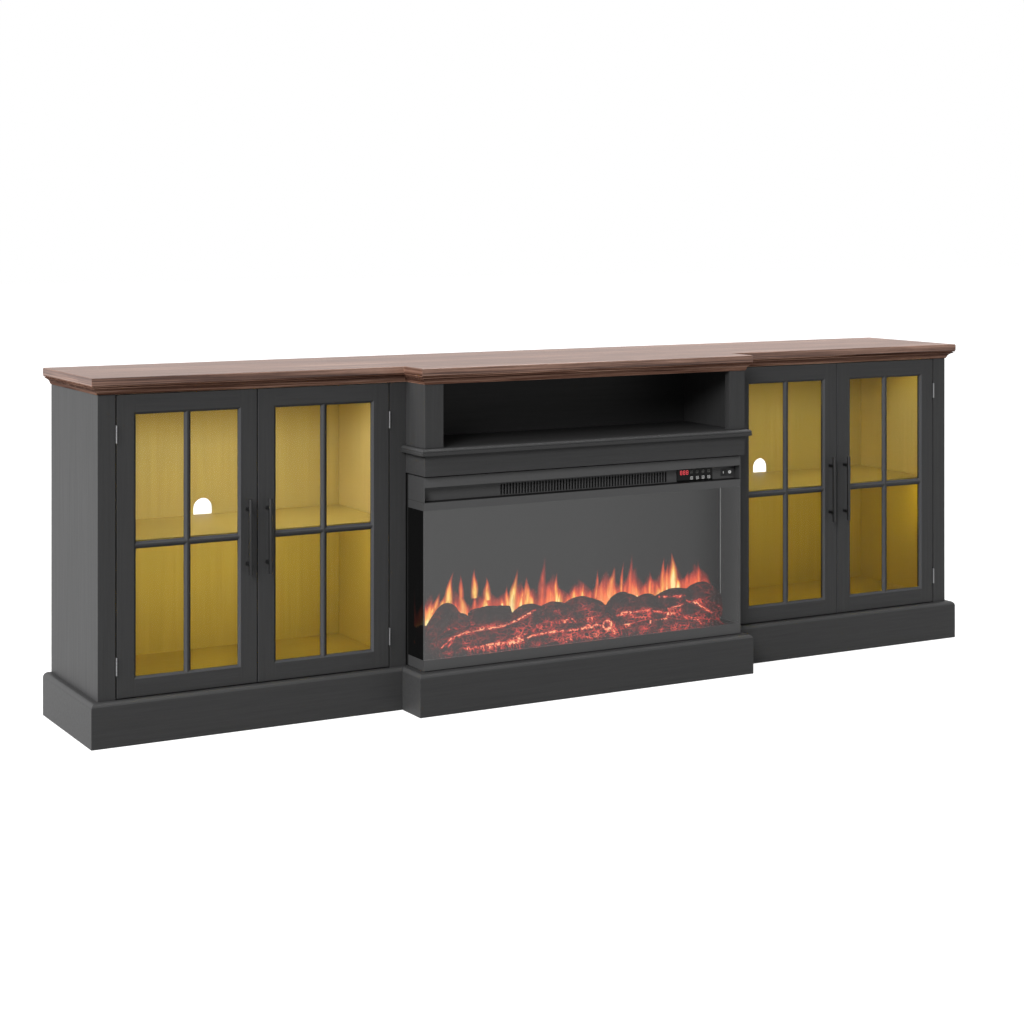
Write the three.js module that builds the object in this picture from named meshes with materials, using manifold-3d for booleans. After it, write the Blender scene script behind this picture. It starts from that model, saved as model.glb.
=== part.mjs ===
// Fireplace TV stand: two glazed cabinets beside a centre section with a cubby over a fire insert.
// Millimetres. X runs right as seen from the front, Y runs back and Z runs up from the floor.
import * as THREE from 'three'
import { mergeVertices } from 'three/addons/utils/BufferGeometryUtils.js'
import Module from 'manifold-3d'

const wasm = await Module()
wasm.setup()

// Driving sizes
const bodyHalfWidth = 1192
const centreHalfWidth = 450
const sideDepth = 343
const centreStep = 100
const overallHeight = 800
const plinthHeight = 98
const cubbyHeight = 148
const topThickness = 17
const corniceHeight = 21
const endOverhang = 20
const frontOverhang = 22
const centreOverhang = 15
const boardThickness = 18
const backThickness = 6
const doorThickness = 20
const doorGap = 3
const glassThickness = 4
const sheetThickness = 2

// Clearances
const seatGap = 0.3
const cutOverrun = 2

// Planes that the pieces share
const backY = (sideDepth + centreStep + centreOverhang) / 2
const sideFaceY = backY - sideDepth
const centreFaceY = sideFaceY - centreStep
const backPanelY = backY - backThickness
const boardBackY = backPanelY - seatGap
const topUnderZ = overallHeight - topThickness
const carcassTopZ = topUnderZ - corniceHeight
const underTopZ = topUnderZ - seatGap
const centreInnerHalf = centreHalfWidth - seatGap

// Finishes, as seen in the photograph
const walnut = { color: 0x8a6a5c, roughness: 0.4, metalness: 0 }
const charcoal = { color: 0x3a3a3c, roughness: 0.55, metalness: 0 }
const litInterior = { color: 0x9c7f3c, roughness: 0.6, metalness: 0 }
const diffuser = { color: 0xfff0c8, roughness: 0.6, metalness: 0 }
const doorGlass = { color: 0xb8bcb4, roughness: 0.08, metalness: 0 }
const fireGlass = { color: 0x595959, roughness: 0.06, metalness: 0 }
const steel = { color: 0xb9b9bb, roughness: 0.35, metalness: 0.9 }
const blackMetal = { color: 0x141414, roughness: 0.5, metalness: 0.4 }
const glossBlack = { color: 0x060606, roughness: 0.12, metalness: 0 }
const softBlack = { color: 0x202022, roughness: 0.5, metalness: 0 }
const charredLog = { color: 0x4a2412, roughness: 0.9, metalness: 0 }
const screenFilm = { color: 0x1a1412, roughness: 0.35, metalness: 0 }

const stand = new THREE.Group()

// A closed solid from any closed three.js geometry
function solid(geometry) {
  geometry.deleteAttribute('normal')
  geometry.deleteAttribute('uv')
  const merged = mergeVertices(geometry)
  const vertProperties = new Float32Array(merged.attributes.position.array)
  const triVerts = new Uint32Array(merged.index.array)
  return new wasm.Manifold(new wasm.Mesh({ numProp: 3, vertProperties, triVerts }))
}

function joined(...solids) {
  return solids.reduce((whole, piece) => whole.add(piece))
}

function without(body, ...cuts) {
  return cuts.reduce((rest, cut) => rest.subtract(cut), body)
}

// Adds one named piece to the stand, at a place of its own where its solid was made at the origin
function place(name, body, finish, position = [0, 0, 0]) {
  const mesh = body.getMesh()
  const geometry = new THREE.BufferGeometry()
  geometry.setAttribute('position', new THREE.BufferAttribute(mesh.vertProperties, mesh.numProp))
  geometry.setIndex(new THREE.BufferAttribute(mesh.triVerts, 1))
  geometry.computeVertexNormals()
  const piece = new THREE.Mesh(geometry, new THREE.MeshStandardMaterial(finish))
  piece.name = name
  piece.position.set(...position)
  stand.add(piece)
}

// A box between two limits on each axis
function box(xs, ys, zs) {
  const size = [xs, ys, zs].map(([low, high]) => high - low)
  const middle = [xs, ys, zs].map(([low, high]) => (low + high) / 2)
  const geometry = new THREE.BoxGeometry(...size)
  geometry.translate(...middle)
  return solid(geometry)
}

// Turns local Z into the named axis and keeps the hand
const alongAxis = {
  x: new THREE.Matrix4().makeBasis(
    new THREE.Vector3(0, 1, 0),
    new THREE.Vector3(0, 0, 1),
    new THREE.Vector3(1, 0, 0),
  ),
  y: new THREE.Matrix4().makeBasis(
    new THREE.Vector3(0, 0, 1),
    new THREE.Vector3(1, 0, 0),
    new THREE.Vector3(0, 1, 0),
  ),
  z: new THREE.Matrix4(),
}

// A prism along an axis; its outline is in (y, z) along x, in (z, x) along y and in (x, y) along z
function prism(axis, outline, start, end) {
  const shape = new THREE.Shape(outline.map(([a, b]) => new THREE.Vector2(a, b)))
  const geometry = new THREE.ExtrudeGeometry(shape, { depth: end - start, bevelEnabled: false })
  geometry.translate(0, 0, start)
  geometry.applyMatrix4(alongAxis[axis])
  return solid(geometry)
}

// A round rod along an axis; its centre is in the same pair of axes as a prism's outline
const roundSides = 24
function rod(axis, centre, radius, start, end, sides = roundSides) {
  const geometry = new THREE.CylinderGeometry(radius, radius, end - start, sides)
  geometry.rotateX(Math.PI / 2)
  geometry.translate(centre[0], centre[1], (start + end) / 2)
  geometry.applyMatrix4(alongAxis[axis])
  return solid(geometry)
}

// A closed body from outlines stacked upwards, each with the same number of points
function stack(rings) {
  const count = rings[0].outline.length
  const positions = rings.flatMap(({ outline, level }) => outline.flatMap(([x, y]) => [x, y, level]))
  const faces = THREE.ShapeUtils.triangulateShape(
    rings[0].outline.map(([x, y]) => new THREE.Vector2(x, y)),
    [],
  )
  const first = rings[0].outline
  const index = []
  const turnsLeft = ([a, b, c]) => {
    const [ax, ay] = first[a]
    const [bx, by] = first[b]
    const [cx, cy] = first[c]
    return (bx - ax) * (cy - ay) > (by - ay) * (cx - ax)
  }
  const topStart = (rings.length - 1) * count
  for (const face of faces) {
    const [a, b, c] = turnsLeft(face) ? face : [face[0], face[2], face[1]]
    index.push(a, c, b)
    index.push(topStart + a, topStart + b, topStart + c)
  }
  for (let ring = 0; ring < rings.length - 1; ring += 1) {
    for (let corner = 0; corner < count; corner += 1) {
      const a = ring * count + corner
      const b = ring * count + (corner + 1) % count
      index.push(a, b, b + count)
      index.push(a, b + count, a + count)
    }
  }
  const geometry = new THREE.BufferGeometry()
  geometry.setAttribute('position', new THREE.Float32BufferAttribute(positions, 3))
  geometry.setIndex(index)
  return solid(geometry)
}

// The same stack turned to face the front: outlines are in (x, z) and levels run towards the front
function stackFacingFront(rings) {
  const body = stack(rings)
  const mesh = body.getMesh()
  const geometry = new THREE.BufferGeometry()
  geometry.setAttribute('position', new THREE.BufferAttribute(mesh.vertProperties, mesh.numProp))
  geometry.setIndex(new THREE.BufferAttribute(mesh.triVerts, 1))
  geometry.rotateX(Math.PI / 2)
  return solid(geometry)
}

// Limits widened at both ends
function grown([low, high], amount) {
  return [low - amount, high + amount]
}

// Limits on X of a piece that lies between two distances from the middle, on one side
function across(side, near, far) {
  return side < 0 ? [-far, -near] : [near, far]
}

// An outline for one side, mirrored for the left and kept counter-clockwise
function sided(side, outline) {
  return side > 0 ? outline : outline.map(([x, y]) => [-x, y]).reverse()
}

// The stepped plan of the top and of its moulding, counter-clockwise from the left back corner
function steppedPlan(halfWidth, sideFront, stepHalf, stepFront, back) {
  return [
    [-halfWidth, back],
    [-halfWidth, sideFront],
    [-stepHalf, sideFront],
    [-stepHalf, stepFront],
    [stepHalf, stepFront],
    [stepHalf, sideFront],
    [halfWidth, sideFront],
    [halfWidth, back],
  ]
}

const sides = [
  { name: 'left', hand: -1 },
  { name: 'right', hand: 1 },
]

// Top board, with a small arris round its upper edge
const topArris = 1.5
const topPlan = (inset) => steppedPlan(
  bodyHalfWidth + endOverhang - inset,
  sideFaceY - frontOverhang + inset,
  centreHalfWidth + centreOverhang - inset,
  centreFaceY - centreOverhang + inset,
  backY,
)
place('top_board', stack([
  { level: topUnderZ, outline: topPlan(topArris / 2) },
  { level: topUnderZ + topArris / 2, outline: topPlan(0) },
  { level: overallHeight - topArris, outline: topPlan(0) },
  { level: overallHeight, outline: topPlan(topArris) },
]), walnut)

// Cornice moulding: a fillet, a rising cove, a fillet, a quirk and a bead.
// The first share is of the overhang and the second is of the height.
const corniceProfileShares = [
  [0.10, 0.00],
  [0.13, 0.09],
  [0.17, 0.12],
  [0.21, 0.26],
  [0.30, 0.40],
  [0.43, 0.53],
  [0.60, 0.63],
  [0.76, 0.69],
  [0.80, 0.71],
  [0.80, 0.78],
  [0.70, 0.80],
  [0.70, 0.85],
  [0.88, 0.87],
  [0.96, 0.91],
  [0.96, 0.95],
  [0.88, 1.00],
]
const cornicePlan = (share) => steppedPlan(
  bodyHalfWidth + share * endOverhang,
  sideFaceY - share * frontOverhang,
  centreHalfWidth + share * centreOverhang,
  centreFaceY - share * centreOverhang,
  backY,
)
const corniceInside = steppedPlan(
  bodyHalfWidth - boardThickness,
  sideFaceY + boardThickness,
  centreHalfWidth - boardThickness,
  centreFaceY + boardThickness,
  backY + cutOverrun,
)
place('cornice_moulding', without(
  stack(corniceProfileShares.map(([out, up]) => ({
    level: carcassTopZ + up * (underTopZ - carcassTopZ),
    outline: cornicePlan(out),
  }))),
  stack([
    { level: carcassTopZ - cutOverrun, outline: corniceInside },
    { level: topUnderZ + cutOverrun, outline: corniceInside },
  ]),
), walnut)

// Side cabinets: boards, stiles and plinths
const outerStileWidth = 40
const innerStileWidth = 41
const doorClearance = 2
const shelfSetback = 39
const shelfMiddleDrop = 4
const archWidth = 48
const archShift = 3.5
const archStraight = 15
const archLift = 0.5
const plinthProjection = 19
const plinthReturn = 20
const plinthRound = 11
const centrePlinthProjection = 12
const centrePlinthReturn = 18
const lightBarDepth = 12
const lightBarHeight = 10
const lightBarInset = 6
const lightBarSetback = 4

const bayInner = centreHalfWidth + boardThickness
const bayOuter = bodyHalfWidth - boardThickness
const stileBackY = sideFaceY + boardThickness
const sideTopZ = carcassTopZ - seatGap
const doorBottomZ = plinthHeight + doorClearance
const doorTopZ = carcassTopZ - doorClearance
const doorHeight = doorTopZ - doorBottomZ
const doorMiddleZ = (doorTopZ + doorBottomZ) / 2
const doorBackY = sideFaceY + doorThickness
const bayFrontY = doorBackY + doorClearance
const shelfTopZ = doorMiddleZ - shelfMiddleDrop + boardThickness / 2 + seatGap / 2
const shelfUnderZ = shelfTopZ - boardThickness
const plinthFrontY = sideFaceY - plinthProjection
const centrePlinthFrontY = centreFaceY - centrePlinthProjection

// Insets of the plinth's rounded upper edge, with the levels that they belong to
const roundSteps = 5
const plinthRounding = [{ level: 0, inset: 0 }]
for (let step = 0; step <= roundSteps; step += 1) {
  const turn = (step / roundSteps) * (Math.PI / 2)
  plinthRounding.push({
    level: plinthHeight - plinthRound * (1 - Math.sin(turn)),
    inset: plinthRound * (1 - Math.cos(turn)),
  })
}

// Outer side: a board with a face stile glued to its front edge
function outerSide(hand) {
  return joined(
    box(across(hand, bayOuter, bodyHalfWidth), [sideFaceY, backY], [0, sideTopZ]),
    box(across(hand, bodyHalfWidth - outerStileWidth, bodyHalfWidth), [sideFaceY, stileBackY], [0, sideTopZ]),
  )
}

// Inner side: as the outer one, but behind the moulding it rises to carry the top
function innerSide(hand) {
  const boardLimits = across(hand, centreHalfWidth, bayInner)
  const stileLimits = across(hand, centreHalfWidth, centreHalfWidth + innerStileWidth)
  return joined(
    box(boardLimits, [sideFaceY, backY], [0, sideTopZ]),
    box(boardLimits, [stileBackY + seatGap, backY], [sideTopZ - cutOverrun, underTopZ]),
    box(stileLimits, [sideFaceY, stileBackY], [0, sideTopZ]),
  )
}

// Back panel with an arch-shaped cable hole just above the shelf, a little left of the middle
const archSteps = 16
function backPanel(hand) {
  const archRadius = archWidth / 2
  const middle = hand * (bayInner + bayOuter) / 2 - archShift
  const archFloorZ = shelfTopZ + archLift
  const arch = [
    [archFloorZ, middle - archRadius],
    [archFloorZ, middle + archRadius],
  ]
  for (let step = 0; step <= archSteps; step += 1) {
    const turn = (step / archSteps) * Math.PI
    arch.push([
      archFloorZ + archStraight + archRadius * Math.sin(turn),
      middle + archRadius * Math.cos(turn),
    ])
  }
  return without(
    box(across(hand, bayInner + seatGap, bayOuter - seatGap), [backPanelY, backY], [plinthHeight, underTopZ]),
    prism('y', arch, backPanelY - cutOverrun, backY + cutOverrun),
  )
}

// Side plinth: a front board coped to the centre plinth, with a return along the end
function sidePlinth(hand) {
  const nearEnd = centreHalfWidth + centrePlinthReturn + seatGap
  const end = bodyHalfWidth + plinthReturn
  return stack(plinthRounding.map(({ level, inset }) => ({
    level,
    outline: sided(hand, [
      [nearEnd - inset, plinthFrontY + inset],
      [end - inset, plinthFrontY + inset],
      [end - inset, backY],
      [bodyHalfWidth + seatGap, backY],
      [bodyHalfWidth + seatGap, sideFaceY - seatGap],
      [nearEnd - inset, sideFaceY - seatGap],
    ]),
  })))
}

for (const { name, hand } of sides) {
  const bay = across(hand, bayInner + seatGap, bayOuter - seatGap)
  const base = box(bay, [bayFrontY, boardBackY], [plinthHeight, plinthHeight + boardThickness])
  const shelf = box(bay, [sideFaceY + shelfSetback, boardBackY], [shelfUnderZ, shelfTopZ])
  const barFrontY = doorBackY + lightBarSetback
  const lightBar = box(
    across(hand, bayInner + lightBarInset, bayOuter - lightBarInset),
    [barFrontY, barFrontY + lightBarDepth],
    [underTopZ - lightBarHeight, underTopZ],
  )
  place(`${name}_outer_side`, outerSide(hand), charcoal)
  place(`${name}_inner_side`, innerSide(hand), charcoal)
  place(`${name}_base_board`, base, litInterior)
  place(`${name}_shelf`, shelf, litInterior)
  place(`${name}_back_panel`, backPanel(hand), litInterior)
  place(`${name}_plinth`, sidePlinth(hand), charcoal)
  place(`${name}_light_bar`, lightBar, diffuser)
}

// Doors: a frame with a cross of glazing bars, a pane, a bar handle and two butt hinges.
// Each is made with its lower left front corner at the origin.
const doorWidth = (bodyHalfWidth - outerStileWidth - centreHalfWidth - innerStileWidth - 3 * doorGap) / 2
const frameFlat = 38.5
const frameBevel = 5.3
const frameBevelDepth = 3.4
const rebateWidth = 6
const rebateDepth = 11.4
const glazingBarWidth = 15.5
const glazingBarRidge = 3.5
const glazingBarRecess = 1.5
const glazingBarSlope = 4
const handleDiameter = 9
const handlePostDiameter = 8
const handleLength = 170
const handlePostSpacing = 122
const handleStandOff = 18.5
const handleInset = 22.5
const hingeHeight = 40
const hingeLowInset = 70
const hingeHighInset = 85
const knuckleRadius = 2.4
const knuckleStandOff = 2.3
const leafThickness = 1.1
const leafDepth = 16

const openingInset = frameFlat + frameBevel
const shoulderY = doorThickness - rebateDepth

function rectangle(left, right, bottom, top) {
  return [[left, bottom], [right, bottom], [right, top], [left, top]]
}

function doorOutline(inset) {
  return rectangle(inset, doorWidth - inset, inset, doorHeight - inset)
}

function doorFrame() {
  const barHalf = glazingBarWidth / 2
  const ridgeHalf = glazingBarRidge / 2
  const barSection = (middle) => [
    [middle - barHalf, shoulderY],
    [middle - barHalf, glazingBarRecess + glazingBarSlope],
    [middle - ridgeHalf, glazingBarRecess],
    [middle + ridgeHalf, glazingBarRecess],
    [middle + barHalf, glazingBarRecess + glazingBarSlope],
    [middle + barHalf, shoulderY],
  ]
  const opening = stackFacingFront([
    { level: -doorThickness - cutOverrun, outline: doorOutline(openingInset) },
    { level: -frameBevelDepth, outline: doorOutline(openingInset) },
    { level: 0, outline: doorOutline(frameFlat) },
    { level: cutOverrun, outline: doorOutline(frameFlat) },
  ])
  const rebate = box(
    [openingInset - rebateWidth, doorWidth - openingInset + rebateWidth],
    [shoulderY, doorThickness + cutOverrun],
    [openingInset - rebateWidth, doorHeight - openingInset + rebateWidth],
  )
  const upright = prism(
    'z',
    barSection(doorWidth / 2),
    openingInset - rebateWidth,
    doorHeight - openingInset + rebateWidth,
  )
  const crossbar = prism(
    'x',
    barSection(doorHeight / 2).map(([z, y]) => [y, z]),
    openingInset - rebateWidth,
    doorWidth - openingInset + rebateWidth,
  )
  const ring = without(box([0, doorWidth], [0, doorThickness], [0, doorHeight]), opening, rebate)
  return joined(ring, upright, crossbar)
}

function doorPane() {
  const edge = openingInset - rebateWidth + seatGap
  return box(
    [edge, doorWidth - edge],
    [shoulderY + seatGap, shoulderY + seatGap + glassThickness],
    [edge, doorHeight - edge],
  )
}

// A straight bar on two posts, near the free edge of the door
function doorHandle(hingeAtRight) {
  const x = hingeAtRight ? handleInset : doorWidth - handleInset
  const middle = doorHeight / 2
  const posts = [-1, 1].map((end) => rod(
    'y',
    [middle + end * handlePostSpacing / 2, x],
    handlePostDiameter / 2,
    -handleStandOff,
    -seatGap,
  ))
  const bar = rod(
    'z',
    [x, -handleStandOff],
    handleDiameter / 2,
    middle - handleLength / 2,
    middle + handleLength / 2,
  )
  return joined(bar, ...posts)
}

// A knuckle in the gap beside the door, with its leaf let in along the door's edge
function doorHinge(hingeAtRight, middleZ) {
  const away = hingeAtRight ? 1 : -1
  const edge = hingeAtRight ? doorWidth : 0
  const axisX = edge + away * doorGap / 2
  const leafMiddle = edge + away * (seatGap + leafThickness / 2)
  const leafLimits = grown([leafMiddle, leafMiddle], leafThickness / 2)
  const low = middleZ - hingeHeight / 2
  const high = middleZ + hingeHeight / 2
  return joined(
    rod('z', [axisX, -knuckleStandOff], knuckleRadius, low, high),
    box(leafLimits, [-knuckleStandOff, leafDepth], [low, high]),
  )
}

const outerDoorX = bodyHalfWidth - outerStileWidth - doorGap - doorWidth
const innerDoorX = centreHalfWidth + innerStileWidth + doorGap
const doors = [
  { name: 'door_1', x: -outerDoorX - doorWidth, hingeAtRight: false },
  { name: 'door_2', x: -innerDoorX - doorWidth, hingeAtRight: true },
  { name: 'door_3', x: innerDoorX, hingeAtRight: false },
  { name: 'door_4', x: outerDoorX, hingeAtRight: true },
]
for (const { name, x, hingeAtRight } of doors) {
  const corner = [x, sideFaceY, doorBottomZ]
  place(`${name}_frame`, doorFrame(), charcoal, corner)
  place(`${name}_glass`, doorPane(), doorGlass, corner)
  place(`${name}_handle`, doorHandle(hingeAtRight), blackMetal, corner)
  place(`${name}_upper_hinge`, doorHinge(hingeAtRight, doorHeight - hingeHighInset), steel, corner)
  place(`${name}_lower_hinge`, doorHinge(hingeAtRight, hingeLowInset), steel, corner)
}

// Centre section: cubby, frieze, back, base and plinth
const cubbyStileWidth = 47.5
const cubbyDepth = 244
const nosingHeight = 16
const nosingProjection = 13
const friezeHeight = 48.4
const insertTopGap = 3.8
const portWidth = 160
const portHeight = 120
const portLift = 60
const floorInset = 1

const cubbyFloorTopZ = carcassTopZ - cubbyHeight
const nosingUnderZ = cubbyFloorTopZ - nosingHeight
const friezeTopZ = nosingUnderZ - seatGap
const friezeUnderZ = friezeTopZ - friezeHeight
const insertTopZ = friezeUnderZ - insertTopGap
const centreBoardInner = centreHalfWidth - boardThickness
const centreStileBackY = centreFaceY + boardThickness
const centreBaseTopZ = plinthHeight

function cubbySide(hand) {
  const foot = cubbyFloorTopZ + seatGap
  const boardLimits = across(hand, centreBoardInner, centreInnerHalf)
  const stileLimits = across(hand, centreHalfWidth - cubbyStileWidth, centreInnerHalf)
  return joined(
    box(stileLimits, [centreFaceY, centreStileBackY], [foot, sideTopZ]),
    box(boardLimits, [centreFaceY, boardBackY], [foot, sideTopZ]),
    box(boardLimits, [stileBackY + seatGap, boardBackY], [sideTopZ - cutOverrun, underTopZ]),
  )
}

// Nosing of the cubby floor: a square lower edge, a fine groove and a rounded upper band.
// The first share is of the projection and the second is of the height.
const nosingProfileShares = [
  [0.94, 0.00],
  [1.00, 0.05],
  [1.00, 0.43],
  [0.91, 0.46],
  [0.91, 0.51],
  [1.00, 0.54],
  [0.98, 0.67],
  [0.90, 0.79],
  [0.77, 0.89],
  [0.60, 0.97],
  [0.42, 1.00],
]
const nosingPlan = (share) => steppedPlan(
  centreHalfWidth - floorInset,
  sideFaceY - seatGap,
  centreHalfWidth + share * nosingProjection,
  centreFaceY - share * nosingProjection,
  boardBackY,
)

// The floor is widest in front, where its nosing runs round the proud part of the section.
// The thin back of the cubby stands on it and closes it off well in front of the rear panel.
function cubbyFloor() {
  const floor = stack(nosingProfileShares.map(([out, up]) => ({
    level: nosingUnderZ + up * nosingHeight,
    outline: nosingPlan(out),
  })))
  const backHalf = centreBoardInner - seatGap
  const cubbyBackY = centreFaceY + cubbyDepth
  const back = box(
    [-backHalf, backHalf],
    [cubbyBackY, cubbyBackY + backThickness],
    [cubbyFloorTopZ - cutOverrun, underTopZ],
  )
  return joined(floor, back)
}

// Frieze: a face board with two returns that carry the cubby floor
function friezeBoard() {
  const level = [friezeUnderZ, friezeTopZ]
  return joined(
    box([-centreInnerHalf, centreInnerHalf], [centreFaceY, centreStileBackY], level),
    box([-centreInnerHalf, -centreBoardInner], [centreFaceY, boardBackY], level),
    box([centreBoardInner, centreInnerHalf], [centreFaceY, boardBackY], level),
  )
}

function centreBack() {
  const portFloorZ = plinthHeight + portLift
  return without(
    box([-centreInnerHalf, centreInnerHalf], [backPanelY, backY], [plinthHeight, underTopZ]),
    box(
      [-portWidth / 2, portWidth / 2],
      [backPanelY - cutOverrun, backY + cutOverrun],
      [portFloorZ, portFloorZ + portHeight],
    ),
  )
}

function centrePlinth() {
  const half = centreHalfWidth + centrePlinthReturn
  const innerHalf = centreHalfWidth + seatGap
  const innerFront = centrePlinthFrontY + boardThickness
  return stack(plinthRounding.map(({ level, inset }) => ({
    level,
    outline: [
      [-half + inset, centrePlinthFrontY + inset],
      [half - inset, centrePlinthFrontY + inset],
      [half - inset, sideFaceY - seatGap],
      [innerHalf, sideFaceY - seatGap],
      [innerHalf, innerFront],
      [-innerHalf, innerFront],
      [-innerHalf, sideFaceY - seatGap],
      [-half + inset, sideFaceY - seatGap],
    ],
  })))
}

for (const { name, hand } of sides) {
  place(`${name}_cubby_side`, cubbySide(hand), charcoal)
}
place('cubby_floor', cubbyFloor(), charcoal)
place('frieze_board', friezeBoard(), charcoal)
place('centre_back', centreBack(), charcoal)
place('centre_base', box(
  [-centreInnerHalf, centreInnerHalf],
  [centrePlinthFrontY + boardThickness + seatGap, boardBackY],
  [centreBaseTopZ - boardThickness, centreBaseTopZ],
), charcoal)
place('centre_plinth', centrePlinth(), charcoal)

// Fire insert: folded sheet housing, header, glazing and trim
const insertSideGap = 4
const insertSetback = 13
const insertGlassDepth = 82
const housingDepth = 107.7
const headerHeight = 76.5
const topBandHeight = 23
const lowerBandHeight = 19
const recessDepth = 25
const trimShadowGap = 2
const trimHeight = 24.3
const trimWall = 6

const insertHalf = centreHalfWidth - insertSideGap
const insertInnerHalf = insertHalf - sheetThickness
const insertFrontY = centreFaceY + insertSetback
const glassBackY = insertFrontY + insertGlassDepth
const housingFrontY = glassBackY + seatGap
const housingBackY = housingFrontY + housingDepth
const insertFloorZ = centreBaseTopZ + seatGap
const housingFloorTopZ = insertFloorZ + sheetThickness
const headerUnderZ = insertTopZ - headerHeight
const headerFloorTopZ = headerUnderZ + sheetThickness
const recessTopZ = insertTopZ - topBandHeight
const recessFloorZ = headerUnderZ + lowerBandHeight
const recessBackY = insertFrontY + recessDepth
const trimTopZ = plinthHeight + trimShadowGap + trimHeight
const paneLimitsZ = [trimTopZ + seatGap, headerUnderZ - seatGap]

// Fan drum of the heater, which blows through the slots
const drumRadius = 20
const drumEndThickness = 2
const drumBladeThickness = 1.4
const drumBladeWidth = 5
const drumCells = 6
const drumBlades = 16
const drumSetback = 28
const drumLift = 35
const shaftRadius = 3
const shaftClearance = 0.4
const tabReach = 15
const tabRise = 16
const tabGap = 4

// Slots, panel and rocker on the back wall of the recess
const grilleFromEnd = 215
const grilleToPanel = 30.5
const slotCount = 58
const slotWidth = 4.4
const slotMargin = 2
const slotHeight = 26
const panelToRocker = 45.5
const panelWidth = 106
const panelHeight = 29.4
const panelProud = 2
const panelThickness = 8
const keySize = 8
const keyPitch = 17.3
const firstKeyX = 43
const keyLift = 7.4
const keyProud = 0.4
const keyLength = 6
const keyTravel = 0.8
const keyClearance = 0.3
const rockerFromEnd = 24.5
const rockerHalfLength = 18.2
const rockerHeight = 18.8
const rockerLift = 6.6
const rockerEndRise = 5
const rockerMiddleRise = 2.4
const rockerShoulder = 1.5
const rockerKeel = 6
const rockerPivotDepth = 3
const rockerEndClearance = 1
const rockerWellDepth = 14
const rockerTilt = 8

const rockerMiddleX = insertHalf - rockerFromEnd
const panelLeftX = rockerMiddleX - panelToRocker - panelWidth
const grilleLeftX = grilleFromEnd - insertHalf
const grilleRightX = panelLeftX - grilleToPanel
const drumCentre = [recessBackY + drumSetback, headerFloorTopZ + drumLift]
const drumLimitsX = [grilleLeftX - slotWidth, grilleRightX + slotWidth]
const slotFloorZ = recessFloorZ + slotMargin
const slotPitch = (grilleRightX - grilleLeftX - slotWidth) / (slotCount - 1)
const panelFloorZ = recessFloorZ + 2 * seatGap
const panelFrontY = recessBackY - panelProud
const rockerMiddleZ = recessFloorZ + rockerLift + rockerHeight / 2
const rockerHole = {
  x: grown([rockerMiddleX - rockerHalfLength, rockerMiddleX + rockerHalfLength], rockerEndClearance),
  z: grown([rockerMiddleZ - rockerHeight / 2, rockerMiddleZ + rockerHeight / 2], seatGap),
}

// Flame rotor, the spindle of bright vanes whose light plays on the screen
const rotorSetback = 24
const rotorLift = 50
const rotorEndGap = 24
const rotorTabHalf = 16
const vaneRadius = 17
const vaneThickness = 1.2
const vaneLength = 22
const vaneCount = 36
const vaneTurn = 50
const rotorCentre = [housingFrontY + rotorSetback, housingFloorTopZ + rotorLift]
const rotorHalf = insertInnerHalf - rotorEndGap

// Cord gland on the back of the housing
const glandFromEnd = 60
const glandLift = 40
const glandNeckRadius = 6.5
const glandFlangeRadius = 10
const glandFlangeThickness = 3
const glandNoseLength = 14
const glandBoreRadius = 1.9
const glandTail = 5
const glandCentre = [housingFloorTopZ + glandLift, insertHalf - glandFromEnd]

// Housing: a box of sheet open at the front, with a shelf under the header's works, a tongue
// under the logs, and tabs that hold the shafts
function fireboxHousing() {
  const shell = without(
    box([-insertHalf, insertHalf], [housingFrontY, housingBackY], [insertFloorZ, insertTopZ]),
    box(
      [-insertInnerHalf, insertInnerHalf],
      [housingFrontY - cutOverrun, housingBackY - sheetThickness],
      [housingFloorTopZ, insertTopZ - sheetThickness],
    ),
  )
  const shelf = box(
    [-insertInnerHalf - sheetThickness / 2, insertInnerHalf + sheetThickness / 2],
    [housingFrontY, housingBackY - sheetThickness / 2],
    [headerUnderZ, headerFloorTopZ],
  )
  const tongueHalf = insertHalf - trimWall - seatGap
  const tongue = box(
    [-tongueHalf, tongueHalf],
    [insertFrontY + trimWall + seatGap, housingFrontY + cutOverrun],
    [insertFloorZ, housingFloorTopZ],
  )
  const drumTab = (x) => joined(
    box(
      [x, x + sheetThickness],
      [drumCentre[0] - tabReach, housingFrontY + tabReach],
      [headerFloorTopZ + seatGap, drumCentre[1] + tabRise],
    ),
    box([x, x + sheetThickness], [housingFrontY, housingFrontY + tabReach], [headerUnderZ, drumCentre[1]]),
  )
  const rotorTab = (x) => box(
    [x, x + sheetThickness],
    [rotorCentre[0] - rotorTabHalf, rotorCentre[0] + rotorTabHalf],
    [insertFloorZ, rotorCentre[1] + rotorTabHalf],
  )
  const holeRadius = shaftRadius + shaftClearance
  return without(
    joined(
      shell,
      shelf,
      tongue,
      drumTab(drumLimitsX[0] - tabGap - sheetThickness),
      drumTab(drumLimitsX[1] + tabGap),
      rotorTab(-rotorHalf - tabGap - sheetThickness),
      rotorTab(rotorHalf + tabGap),
    ),
    rod('x', drumCentre, holeRadius, drumLimitsX[0] - 2 * tabGap, drumLimitsX[1] + 2 * tabGap),
    rod('x', rotorCentre, holeRadius, -rotorHalf - 2 * tabGap, rotorHalf + 2 * tabGap),
    rod(
      'y',
      glandCentre,
      glandNeckRadius + seatGap,
      housingBackY - sheetThickness - cutOverrun,
      housingBackY + cutOverrun,
    ),
  )
}

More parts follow.
